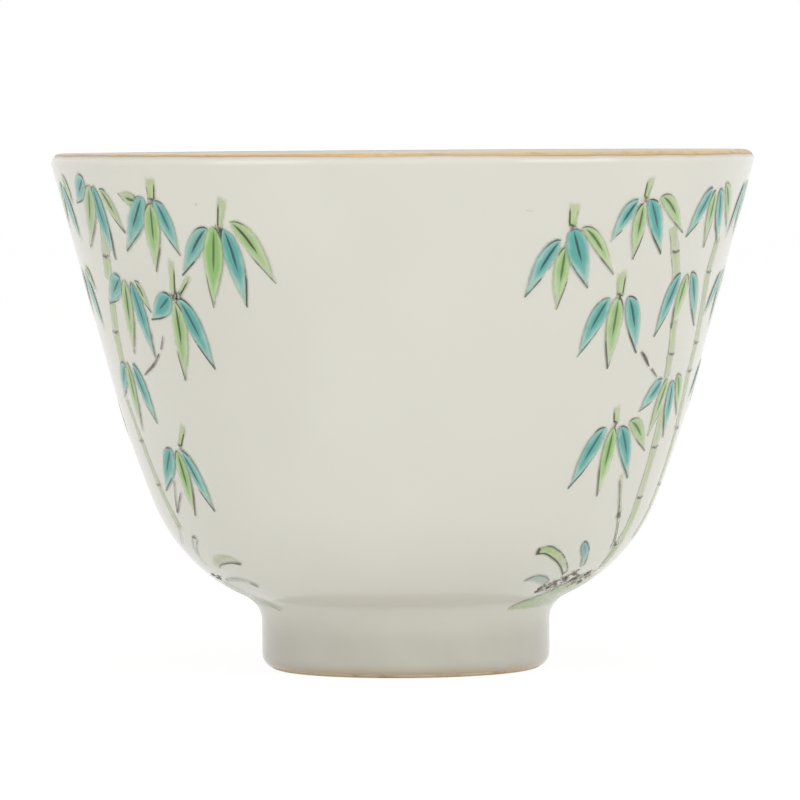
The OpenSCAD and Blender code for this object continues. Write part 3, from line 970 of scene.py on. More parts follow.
@dataclass(frozen=True)
class Blade:
    """A blade of grass from its tip down.

    Its line holds places as azimuth and height. Its widths and the depths of its colour are spaced evenly
    along the line, and its ink is that of its left and right sides.
    """

    line: tuple[Point, ...]
    widths: tuple[float, ...] = (0.5, 0.9, 0.8, 0.5)
    tones: tuple[float, ...] = (0.9, 0.2)
    ink: Point = (0.9, 0.6)


@dataclass
class Patch:
    """A brush stroke laid on the wall as a grid of places, with what its enamel needs to know."""

    azimuth: np.ndarray
    z: np.ndarray
    edge: np.ndarray
    across: np.ndarray
    along: np.ndarray
    layer: int
    traits: dict[str, object]


@dataclass
class Brush:
    """Lays leaves and strokes on the wall of a cup, in millimetres."""

    form: CupForm
    margin: float = 0.4
    rows: int = 22
    columns: int = 10
    leaf_belly: float = 0.34
    leaf_taper: float = 1.2
    layer_t: float = 0.016
    dome: float = 0.012
    sunk: float = 0.06
    side_reach: float = 0.99
    steepest: float = 2.0
    nudge: float = 0.01
    upright: float = 0.2
    shoulder_at: tuple[float, ...] = (0, 0.1, 0.3, 0.85, 1)
    hem_at: tuple[float, ...] = (0, 0.12, 0.4, 0.65, 1)
    hem_start: Point = (0.1, 0.2)
    tip_from: float = 0.72
    tip_tone: float = -0.3

    def on_wall(
        self, azimuth: float, z: float, x: np.ndarray, y: np.ndarray
    ) -> tuple[np.ndarray, np.ndarray]:
        """Turn places in a plane that faces an azimuth into places on the wall.

        Args:
            azimuth, z: The plane's origin on the wall.
            x, y: Millimetres to the right of it and above it.

        Returns:
            Azimuth and height of each place.
        """
        height = z + y
        share = np.clip(x / self.form.wall_r(height), -self.side_reach, self.side_reach)
        return azimuth + np.degrees(np.arcsin(share)), height

    def swell(self, share: np.ndarray) -> np.ndarray:
        """Half-width of a leaf as a share of its greatest.

        Args:
            share: Share of its length.

        Returns:
            From 0 at its ends to 1 where it is widest.
        """
        roundness = self.leaf_taper * self.leaf_belly / (1 - self.leaf_belly)
        peak = self.leaf_belly ** roundness * (1 - self.leaf_belly) ** self.leaf_taper
        return share ** roundness * (1 - share) ** self.leaf_taper / peak

    def leaf_ink(self, share: np.ndarray, way: float, traits: dict[str, float]) -> dict[str, object]:
        """Ink a leaf dark round its outer shoulder and along its inner hem.

        Args:
            share: Share of its length.
            way: How far it leans to the right.
            traits: Numbers that its enamel reads.

        Returns:
            The numbers, with the ink of the two sides at each place.
        """
        strong, faint = max(traits["left"], traits["right"]), min(traits["left"], traits["right"])
        shoulder = np.interp(share, self.shoulder_at, (strong, strong, faint, faint, strong))
        hem = np.interp(share, self.hem_at, (*self.hem_start, faint, strong, strong))
        left_out = way > 0 if abs(way) > self.upright else traits["left"] > traits["right"]
        left, right = (shoulder, hem) if left_out else (hem, shoulder)
        tone = np.interp(share, (0, self.tip_from, 1), (traits["tone"], traits["tone"], self.tip_tone))
        return traits | {"left": left, "right": right, "tone": tone}

    def leaf(self, spray: Spray, leaf: Leaf, layer: int, traits: dict[str, float]) -> Patch:
        """Lay one leaf.

        Args:
            spray: The spray that it hangs from.
            leaf: The leaf.
            layer: Its place in the pile, from the back.
            traits: Numbers that its enamel reads.

        Returns:
            The patch.
        """
        start, run = np.array(leaf.start), np.array(leaf.tip) - np.array(leaf.start)
        length = float(np.linalg.norm(run))
        ahead = run / length
        spare = self.margin / length
        inner = (1 - np.cos(np.linspace(0, math.pi, self.rows))) / 2
        share = np.concatenate([[-spare], inner, [1 + spare]])[:, None]
        inside = np.clip(share, 0, 1)
        half = leaf.width / 2 * self.swell(inside)
        lean = np.clip(np.gradient(half[:, 0], share[:, 0] * length), -self.steepest, self.steepest)[:, None]
        across = np.linspace(-1, 1, self.columns + 1)[None, :] * (half + self.margin)
        offset = leaf.bow * self.swell(inside) + across
        x = start[0] + share * length * ahead[0] - offset * ahead[1]
        y = start[1] + share * length * ahead[1] + offset * ahead[0]
        azimuth, z = self.on_wall(spray.azimuth, spray.z, x, y)
        beyond = np.abs(share - inside) * length
        edge = np.where(beyond > 0, -np.hypot(across, beyond), (half - np.abs(across)) / np.hypot(1, lean))
        inked = self.leaf_ink(inside, float(ahead[0]), traits)
        return Patch(azimuth, z, edge, across, np.broadcast_to(inside, x.shape), layer, inked)

    def stroke(self, line: list[Point], widths: list[float], layer: int, traits: dict[str, float]) -> Patch:
        """Lay a stroke along a smooth line.

        Args:
            line: Azimuth and height of points on it.
            widths: Its width at even steps along it.
            layer: Its place in the pile, from the back.
            traits: Numbers that its enamel reads.

        Returns:
            The patch.
        """
        places = np.array(line, dtype=float)
        middle = places.mean(axis=0)
        turn = np.radians(places[:, 0] - middle[0])
        flat = np.stack([self.form.wall_r(places[:, 1]) * np.sin(turn), places[:, 1] - middle[1]], axis=1)
        chord = np.concatenate([[0], np.cumsum(np.linalg.norm(np.diff(flat, axis=0), axis=1))])
        length = float(chord[-1])
        run = np.linspace(-self.margin, length + self.margin, self.rows + 1)
        inside = np.clip(run, 0, length)

        def spots(at: np.ndarray) -> np.ndarray:
            """Places on the middle line at distances along it."""
            return np.stack([smooth(chord, flat[:, k], at) for k in (0, 1)], axis=1)

        nudge = self.nudge * length
        heading = spots(np.minimum(inside + nudge, length)) - spots(np.maximum(inside - nudge, 0))
        ahead = heading / np.linalg.norm(heading, axis=1)[:, None]
        spine = spots(inside) + ahead * (run - inside)[:, None]
        share = (inside / length)[:, None]
        half = np.interp(share, np.linspace(0, 1, len(widths)), widths) / 2
        across = np.linspace(-1, 1, self.columns + 1)[None, :] * (half + self.margin)
        x = spine[:, :1] - across * ahead[:, 1:]
        y = spine[:, 1:] + across * ahead[:, :1]
        azimuth, z = self.on_wall(middle[0], middle[1], x, y)
        side, end = half - np.abs(across), np.minimum(run, length - run)[:, None]
        outside = np.hypot(np.minimum(side, 0), np.minimum(end, 0))
        edge = np.where(outside > 0, -outside, np.minimum(side, end))
        return Patch(azimuth, z, edge, across, np.broadcast_to(share, x.shape), layer, traits)

    def band(self, azimuth: np.ndarray, low: np.ndarray, high: np.ndarray, traits: dict[str, float]) -> Patch:
        """Lay a band round the cup between two edges.

        Args:
            azimuth: Degrees along the band, in rising order.
            low, high: Heights of its edges.
            traits: Numbers that its enamel reads.

        Returns:
            The patch.
        """
        half, middle = (high - low)[:, None] / 2, (high + low)[:, None] / 2
        across = -np.linspace(-1, 1, self.columns + 1)[None, :] * (half + self.margin)
        z = middle + across
        share = np.linspace(0, 1, len(azimuth))[:, None]
        return Patch(
            np.broadcast_to(azimuth[:, None], z.shape)[:, ::-1], z[:, ::-1], (half - np.abs(across))[:, ::-1],
            across[:, ::-1], np.broadcast_to(share, z.shape), 0, traits,
        )

    def relief(self, name: str, patches: list[Patch], material: bpy.types.Material) -> bpy.types.Object:
        """Make a closed thin relief from patches.

        Args:
            name: Name of the piece.
            patches: The strokes.
            material: Their enamel.

        Returns:
            The piece.
        """
        verts, faces = [], []
        stored: dict[str, list[np.ndarray]] = {key: [] for key in TRAITS}
        count = 0
        for patch in patches:
            rows, cols = patch.z.shape
            rise = np.clip((patch.edge + self.margin) / (2 * self.margin), 0, 1)
            lift = self.layer_t * (patch.layer + 1) + self.dome * rise
            verts.append(self.form.place(patch.azimuth, patch.z, lift))
            verts.append(self.form.place(patch.azimuth, patch.z, np.full_like(lift, -self.sunk)))
            for key in TRAITS[:3]:
                stored[key].append(np.tile(np.ravel(getattr(patch, key)), 2))
            for key in TRAITS[3:]:
                values = np.broadcast_to(patch.traits[key], (rows, cols))
                stored[key].append(np.tile(np.ravel(values), 2))
            faces += slab_faces(count, rows, cols)
            count += 2 * rows * cols
        numbers = {key: np.concatenate(values) for key, values in stored.items()}
        return mesh_piece(name, np.concatenate(verts), faces, material, numbers)


def slab_faces(first: int, rows: int, cols: int) -> list[tuple[int, ...]]:
    """Faces of a closed slab whose top grid comes before its bottom grid.

    Args:
        first: Number of the first vertex.
        rows, cols: Size of each grid.

    Returns:
        Faces that point outwards.
    """
    low = first + rows * cols
    faces = []
    for i in range(rows - 1):
        for j in range(cols - 1):
            a, b = i * cols + j, i * cols + j + 1
            c, d = b + cols, a + cols
            faces.append((first + a, first + d, first + c, first + b))
            faces.append((low + a, low + b, low + c, low + d))
    rim = (
        list(range(cols - 1)) + [i * cols + cols - 1 for i in range(rows - 1)]
        + [(rows - 1) * cols + j for j in range(cols - 1, 0, -1)] + [i * cols for i in range(rows - 1, 0, -1)]
    )
    faces += [(first + a, first + b, low + b, low + a) for a, b in zip(rim, rim[1:] + rim[:1])]
    return faces


G, T = Hue.GREEN, Hue.TURQUOISE

# Sprays on the two sides
SIDE_SPRAYS = (
    Spray(-76, 59, (
        Leaf(T, (-0.6, -0.8), (1.8, -7.4), 2.4), Leaf(G, (0.6, 0.4), (2.6, -3.0), 1.6, 0.2),
        Leaf(G, (-1.4, -0.4), (-4.6, -6.2), 2.0, -0.2))),
    Spray(-61.5, 58.5, (
        Leaf(G, (-0.6, -0.2), (-4.8, -7.5), 2.8, 0.2, 0.35),
        Leaf(T, (0.5, -0.2), (1.6, -8.8), 2.4, -0.2, 0.9),
        Leaf(G, (1.9, -0.6), (5.2, -5.7), 1.7, 0.3, 0.3), Leaf(T, (-1.8, 0.7), (-5.9, -2.3), 2.6, 0, 0.5))),
    Spray(-45.3, 56.6, (
        Leaf(G, (-0.1, -0.3), (-1.5, -8.2), 2.6, 0, 0.6), Leaf(T, (-1.4, 0.4), (-6.4, -5.9), 2.7, 0, 0.6),
        Leaf(T, (0.7, 0), (3.0, -6.3), 2.2, 0.2, 0.7), Leaf(G, (-2.6, 0.1), (-5.8, 0.8), 1.6, 0.2, 0.4))),
    Spray(-31.7, 53.2, (
        Leaf(G, (-0.7, 0.4), (-2.5, -8.9), 2.7, 0, 0.9), Leaf(T, (0.5, 0.2), (2.1, -8.8), 2.4, 0.3, 0.8),
        Leaf(G, (1.5, 0.9), (6.2, -6.0), 2.1, 0.6, 0.5), Leaf(T, (-1.7, 0.2), (-6.4, -5.2), 2.2, -0.3, 0.6))),
    Spray(-44.4, 45.2, (
        Leaf(G, (-0.1, -0.3), (-1.0, -9.5), 2.3, 0.2, 0.5), Leaf(T, (0.6, 0), (4.1, -8.1), 2.3, 0.3, 0.8),
        Leaf(T, (-0.7, 0.3), (-4.9, -2.5), 2.6, 0, 0.9))),
    Spray(-57.5, 47.4, (
        Leaf(G, (-0.2, -0.1), (-2.2, -8.8), 2.2, 0, 0.5), Leaf(T, (1.2, -0.4), (2.4, -9.1), 2.2, 0, 0.9),
        Leaf(T, (-1.3, 0.1), (-5.8, -3.0), 2.6, 0, 0.6), Leaf(G, (1.9, -0.2), (3.7, -3.8), 1.2, 0.2, 0.3))),
    Spray(-65.8, 37.5, (
        Leaf(G, (0.2, -0.1), (-0.9, -8.2), 2.1, 0, 0.5), Leaf(T, (1.6, -0.2), (3.9, -7.1), 2.2, 0, 0.8),
        Leaf(T, (-0.9, -0.3), (-4.6, -4.3), 2.4, 0, 0.6))),
    Spray(-54.3, 27.5, (
        Leaf(G, (-0.1, -0.3), (-0.6, -8.0), 2.2, 0.2, 0.7), Leaf(T, (0.8, -0.3), (3.5, -7.3), 1.8, 0.2, 0.7),
        Leaf(T, (-1.4, -0.1), (-6.1, -5.3), 2.4, 0, 0.8), Leaf(G, (-2.7, -4.0), (-4.7, -7.9), 1.1, 0, 0.0))),
    Spray(-80, 48.6, (
        Leaf(T, (1.2, -0.6), (3.4, -7.6), 2.2), Leaf(G, (2.4, 0), (5.0, -2.6), 1.6, 0.2),
        Leaf(G, (-1.0, -0.4), (-3.4, -6.8), 2.0))),
    Spray(29, 53.3, (
        Leaf(T, (0.1, -0.2), (3.1, -7.0), 2.8, 0, 0.9), Leaf(G, (1.4, -0.1), (6.6, -5.5), 1.6, 0.5, 0.6),
        Leaf(T, (-1.3, -1.5), (-4.9, -7.9), 2.0, -0.3, 0.7),
        Leaf(G, (-0.6, -2.3), (-0.7, -9.4), 2.0, 0, 0.6))),
    Spray(43.2, 56.4, (
        Leaf(G, (-0.2, -0.5), (-0.3, -6.9), 2.1, 0, 0.5), Leaf(T, (0.7, -0.1), (4.4, -6.4), 2.3, 0.3, 0.9),
        Leaf(T, (-1.1, -0.1), (-4.2, -4.8), 1.9, -0.2, 0.7),
        Leaf(G, (2.6, 0.2), (8.0, -4.0), 1.9, 0.5, 0.4))),
    Spray(63, 57.9, (
        Leaf(T, (1.2, -0.5), (4.4, -6.9), 2.2), Leaf(G, (-0.1, -0.6), (0.3, -7.3), 2.0, 0, 0.5),
        Leaf(T, (-1.0, -0.4), (-4.7, -6.0), 2.1), Leaf(G, (2.5, 0), (7.5, -5.6), 1.9, 0.4, 0.5))),
    Spray(82, 58.5, (
        Leaf(T, (-1.4, -0.4), (-5.2, -7.0), 2.2), Leaf(G, (-0.2, -0.5), (-0.2, -7.6), 2.2),
        Leaf(T, (0.9, -0.2), (4.4, -6.2), 2.2))),
    Spray(59.5, 47.7, (
        Leaf(G, (0, -0.2), (-0.8, -6.5), 2.0, 0, 0.5), Leaf(T, (-1.5, -0.1), (-4.1, -7.4), 2.1, -0.2, 0.8),
        Leaf(T, (1.1, -0.1), (5.7, -6.4), 2.1, 0.2, 0.6))),
    Spray(42.1, 45.2, (
        Leaf(G, (-0.7, -0.1), (-0.4, -8.4), 2.4, 0, 0.5), Leaf(T, (0.9, -0.1), (4.0, -6.7), 2.4, 0.3, 0.7),
        Leaf(T, (-2.0, -0.2), (-5.2, -6.9), 2.3, -0.3, 0.8))),
    Spray(61, 35.4, (
        Leaf(G, (0.4, -0.2), (-1.0, -6.9), 1.9, 0, 0.4), Leaf(T, (1.9, -0.5), (3.7, -7.3), 2.1),
        Leaf(T, (-0.9, -0.3), (-4.4, -3.9), 1.9), Leaf(G, (3.0, 0.1), (6.6, -4.8), 1.9, 0.3))),
    Spray(46.8, 30.2, (
        Leaf(G, (-0.2, -0.4), (0, -8.5), 2.0, 0, 0.8), Leaf(T, (1.0, -0.4), (5.1, -6.6), 2.2, 0.3, 1.0),
        Leaf(T, (-1.6, -0.4), (-5.0, -7.4), 2.2, -0.3, 0.8),
        Leaf(G, (2.6, 0.1), (7.5, -3.5), 1.9, 0.5, 0.4))),
    Spray(81, 48, (
        Leaf(T, (-1.2, -0.6), (-5.4, -5.6), 2.2), Leaf(G, (0, -0.3), (0.6, -7.8), 2.2),
        Leaf(T, (1.2, -0.2), (4.8, -6.0), 2.1))),
    Spray(88, 37, (
        Leaf(T, (-0.9, -0.4), (-4.8, -5.0), 2.1), Leaf(G, (0.2, -0.3), (0.4, -7.6), 2.1),
        Leaf(T, (1.2, 0), (5.0, -5.4), 2.1, 0.2))),
)

# Leaves of the sprays on the back, in three forms
SPRAY_FORMS = (
    (Leaf(G, (-0.3, -0.3), (-1.2, -8.4), 2.4), Leaf(T, (0.6, -0.1), (2.6, -8.0), 2.3, 0.2),
     Leaf(T, (-1.2, -0.1), (-5.2, -5.8), 2.2, -0.3), Leaf(G, (1.6, 0.4), (6.0, -5.2), 1.9, 0.5)),
    (Leaf(G, (0.1, -0.4), (0.3, -8.6), 2.2), Leaf(T, (1.1, -0.3), (4.6, -6.6), 2.2, 0.2),
     Leaf(T, (-0.9, -0.2), (-4.4, -6.8), 2.2, -0.2)),
    (Leaf(T, (-0.5, -0.3), (-2.6, -8.2), 2.4), Leaf(G, (0.5, -0.3), (1.6, -8.6), 2.2),
     Leaf(T, (1.4, 0), (5.4, -5.6), 2.1, 0.3), Leaf(G, (-1.4, 0.1), (-5.8, -3.4), 1.8, -0.4)),
)

# Sprays on the back, on twigs and then on canes, each as azimuth, height, form and way round
TWIG_PLACES = (
    (103, 57.5, 0, 1), (135, 56, 2, 1), (166, 58, 1, 1), (198, 56.5, 0, -1), (230, 58, 2, -1),
    (260, 56, 1, 1), (132, 33.5, 2, -1), (190, 31, 0, 1), (229, 33.5, 2, 1), (264, 34, 1, -1),
)
CANE_PLACES = (
    (118, 46, 1, -1), (150, 47, 0, 1), (182, 45, 2, 1), (214, 46.5, 1, 1), (246, 45, 0, -1), (111, 31, 1, 1),
    (155, 30, 1, -1),
)

# Twigs as low end, high end, width at each end, and ink on the left and the right
SIDE_TWIGS = (
    ((-45.2, 56.8), (-44.6, 59.2), 1.0, 1.4, 0.7, 1.0), ((-31.6, 53.5), (-30.2, 56.9), 0.5, 1.2, 1.0, 0.0),
    ((-44.6, 45.6), (-43.4, 49.7), 0.5, 0.8, 0.0, 1.0), ((-42.9, 45.9), (-40.1, 47.9), 0.4, 0.6, 0.5, 1.0),
    ((-52.9, 27.9), (-50.0, 30.3), 0.5, 0.8, 0.4, 1.0), ((29.0, 53.5), (28.9, 56.0), 0.8, 1.25, 1.0, 0.6),
    ((43.2, 56.6), (43.7, 58.9), 0.5, 1.0, 1.0, 0.6), ((41.3, 45.4), (40.8, 48.0), 0.9, 1.4, 0.5, 1.0),
    ((46.9, 30.4), (46.2, 32.2), 0.6, 0.9, 1.0, 0.3),
)

# Canes as width and the azimuth and height of each node from the top down
CANE_LINES = (
    (2.1, ((-61, 53), (-62.7, 50), (-63.8, 48))),
    (1.9, ((-65.8, 43.8), (-67.5, 41), (-68.2, 37.8))),
    (1.5, ((-72.2, 32.4), (-70.8, 28), (-69.4, 22.8), (-67, 18.4))),
    (1.7, ((52.4, 52.3), (53.9, 50.2), (55.4, 48.1))),
    (1.6, ((59.4, 41.2), (60.8, 38.1), (61.3, 36.2))),
    (2.0, ((63.3, 31.3), (64.6, 27), (65.6, 21), (66.6, 15.6), (69, 13.1))),
    (0.6, ((54.1, 23.2), (58, 19.2), (63, 15.8))),
    (2.0, ((69.8, 51), (69.2, 47.6), (73, 39.2), (73.2, 35.8), (76.5, 29), (79, 22.2), (78, 16.5))),
    (2.0, ((119, 54), (117, 46), (115, 36), (113, 26), (110, 16))),
    (1.8, ((150, 55), (151, 45), (154, 34), (157, 24), (160, 15))),
    (2.1, ((183, 55), (181, 44), (178, 33), (176, 23), (174, 15))),
    (1.8, ((214, 54), (213, 44), (211, 33), (207, 24), (203, 15))),
    (2.0, ((246, 55), (247, 45), (249, 35), (251, 25), (253, 16))),
)

# Grass on the two sides
GREEN_BLADES = (
    Blade(((34.4, 15.4), (36.8, 15.5), (40.5, 14.9), (44.2, 14.0), (47.6, 13.0), (49.6, 12.4)),
          (0.75, 0.95, 0.9, 0.7, 0.6), (1.0, 0.9, 0.1, -0.7), (0.85, 0.95)),
    Blade(((-47.6, 13.8), (-49.5, 14.2), (-52.5, 14.3), (-57, 13.9), (-61.5, 13.1)),
          (0.2, 0.5, 0.8, 1.0, 0.9), (0.0, 0.0, -0.2), (0.05, 0.05)),
)
TURQUOISE_BLADES = (
    Blade(((48.5, 16.1), (49.3, 15.7), (51.9, 14.7), (55.1, 13.1)),
          (0.45, 0.95, 1.05, 1.0, 0.9, 0.8, 0.7, 0.6), (1.0, 0.9, 0.5, -0.4), (0.85, 0.6)),
    Blade(((36, 11.7), (38.2, 11.95), (41.4, 11.8), (44, 11.45), (45.4, 11.2)), (0.2, 0.7, 0.8, 0.7),
          (0.7, 0.4, -0.2), (0.7, 0.3)),
    Blade(((-60.8, 16.65), (-62.6, 16.2), (-65.2, 15.3), (-67.3, 14.2), (-67.6, 13.2)),
          (0.75, 0.65, 0.5, 0.3), (-0.4, -0.5), (0.6, 0.6)),
    Blade(((-49.4, 11), (-50.9, 11.4), (-53.7, 11.65), (-58.2, 11.65), (-64, 11.4)), (0.2, 0.45, 0.4, 0.2),
          (0.0, 0.3), (0.1, 0.2)),
)
# Grass on the back as azimuth, height, radius and end angles of each bend
BACK_GREEN_BENDS = ((112, 12.4, 3.6, 20, 110), (168, 12.6, 3.8, 70, 160), (238, 12.4, 3.6, 20, 110))
BACK_TURQUOISE_BENDS = ((140, 12.4, 3.4, 60, 150), (194, 12.6, 3.6, 20, 110), (266, 12.4, 3.4, 60, 150))

# Lines of ink alone as places from end to end, widths along them and depth of the ink
INK_LINES = (
    (((-59, 36.1), (-54, 37.7), (-52.1, 38.7)), (0.2, 0.35, 0.25), 0.8),
    (((-51.2, 39.2), (-49.7, 40.8)), (0.25, 0.15), 0.8),
    (((50, 38.6), (51.7, 37.8), (53.4, 36.8)), (0.3, 0.4, 0.2), 0.9),
    (((54.5, 36.5), (57, 35.5)), (0.3, 0.15), 0.8),
    (((53.3, 23.4), (55.1, 21.5), (57.3, 19.5)), (0.25, 0.18, 0.15), 0.9),
    (((57.5, 19.5), (58.4, 18.8)), (0.4, 0.45), 1.0),
    (((59, 18.4), (60.7, 17.1), (62.6, 16), (65.6, 15.3)), (0.1, 0.15, 0.18), 0.8),
    (((66, 15.2), (65.8, 14.1), (66.7, 13)), (0.15, 0.12), 0.6),
    (((-59.4, 23.6), (-61.4, 21.8), (-63.7, 19.6)), (0.2, 0.2, 0.25), 0.8),
    (((-58.2, 22.2), (-61, 20.8), (-63.7, 19.6)), (0.2, 0.2, 0.25), 0.8),
    (((-65.5, 19.1), (-65.8, 18.8)), (0.2, 0.15), 0.6),
    (((-66.7, 18.3), (-69.1, 17), (-74.1, 15.3)), (0.15, 0.15), 0.55),
    (((42.6, 8.3), (50.6, 9.7), (54.9, 10.8), (59.8, 11.6), (66.9, 12.3)), (0.1, 0.16, 0.22, 0.2), 0.75),
    (((-55.3, 7.7), (-60.5, 8.3), (-66, 9.2)), (0.12, 0.16), 0.6),
    (((-61.5, 10.2), (-64.5, 10.9), (-67.5, 11.3)), (0.16, 0.16), 0.5),
    (((-59.4, 13.1), (-57.5, 13.45), (-55.3, 13.65), (-50.8, 13.9), (-47.4, 13.8)),
     (0.1, 0.14, 0.16, 0.28), 0.9),
    (((-51.6, 11.4), (-50.4, 11.2), (-49.3, 10.95)), (0.1, 0.25, 0.2), 0.9),
    (((34.3, 15.75), (34.6, 15.05)), (0.35, 0.4), 1.0),
    (((-62.2, 16.75), (-60.2, 16.7)), (0.2, 0.2), 0.8),
    (((45.8, 10.3), (46.4, 10.55), (47.1, 10.5)), (0.15, 0.2, 0.15), 0.7),
    (((44.6, 11.2), (46.3, 10.9), (46.7, 11.4)), (0.15, 0.18, 0.15), 0.75),
    (((49.3, 10.2), (48.5, 10.5), (51.7, 10.7)), (0.15, 0.15, 0.12), 0.65),
    (((48.1, 11.4), (50.3, 11.0), (52.7, 10.6)), (0.2, 0.3, 0.2), 0.8),
    (((49.8, 11.9), (54.1, 11.3), (51.9, 12.1)), (0.2, 0.3, 0.2), 0.85),
    (((53.0, 12.5), (55.2, 12.1), (57.7, 11.9)), (0.2, 0.3, 0.15), 0.8),
    (((-35.6, 56.3), (-35.3, 56.15)), (0.3, 0.25), 0.3),
    (((20.2, 55.35), (21.6, 55.25)), (0.12, 0.1), 0.2),
)

# Moss in tufts and in low rows, each as azimuth, height and width
MOSS_TUFTS = (
    (46.6, 10.5, 1.1), (49.9, 11.0, 0.9), (52.3, 11.6, 1.3), (55.2, 12.2, 1.1), (58, 11.7, 0.9),
    (63.5, 12, 1.2), (61, 10.9, 1.2), (66, 11.1, 1.4),
)
MOSS_ROWS = (
    (-69, 11.6, 4.0), (127, 11.7, 4.2), (151, 11.8, 3.6), (177, 11.7, 4.4), (203, 11.8, 3.8),
    (230, 11.7, 4.2), (254, 11.8, 3.6),
)


@dataclass(frozen=True)
class Bank:
    """Painted ground that rises from its two ends and is scalloped along its upper edge, in millimetres.

    Each hollow of the scallops is an azimuth, a height and a radius.
    """

    low: float = 8.0
    side_h: float = 11.8
    tip: float = 12.1
    slope: float = 66.0
    front: float = -6.0
    first: float = 42.0
    last: float = 306.5
    least_h: float = 0.1
    ink: Point = (0.3, 0.0)
    rounds: int = 12
    steps: int = 240
    tone_at: tuple[float, ...] = (42, 56, 64, 78, 100, 270, 285, 306.5)
    tones: tuple[float, ...] = (0.7, 0.6, 0.0, -0.1, 0.5, 0.5, -0.1, -0.1)
    hollows: tuple[tuple[float, float, float], ...] = (
        (80, 13.3, 2.8), (98, 13.4, 3), (116, 13.2, 2.9), (139, 13.4, 3.2), (163, 13.2, 3), (190, 13.4, 3.2),
        (217, 13.2, 2.9), (243, 13.4, 3.2), (266, 13.2, 3), (283, 13.3, 2.8),
    )

    def upper(self, form: CupForm, azimuth: np.ndarray) -> np.ndarray:
        """Height of the upper edge.

        Args:
            form: The cup.
            azimuth: Degrees round it.

        Returns:
            The height at each azimuth.
        """
        height = np.full_like(azimuth, self.low + 1)
        rise = math.tan(math.radians(self.slope))
        for _ in range(self.rounds):
            ahead = -form.wall_r(height) * np.cos(np.radians(azimuth - self.front))
            wanted = np.clip(self.low + (ahead + self.tip) * rise, self.low, self.side_h)
            height = (2 * height + wanted) / 3
        for middle, z, radius in self.hollows:
            x = form.wall_r(height) * np.sin(np.radians(azimuth - middle))
            near = (np.abs(x) < radius) & (np.cos(np.radians(azimuth - middle)) > 0)
            bottom = z - np.sqrt(np.maximum(radius ** 2 - x ** 2, 0))
            height = np.where(near, np.minimum(height, bottom), height)
        return height


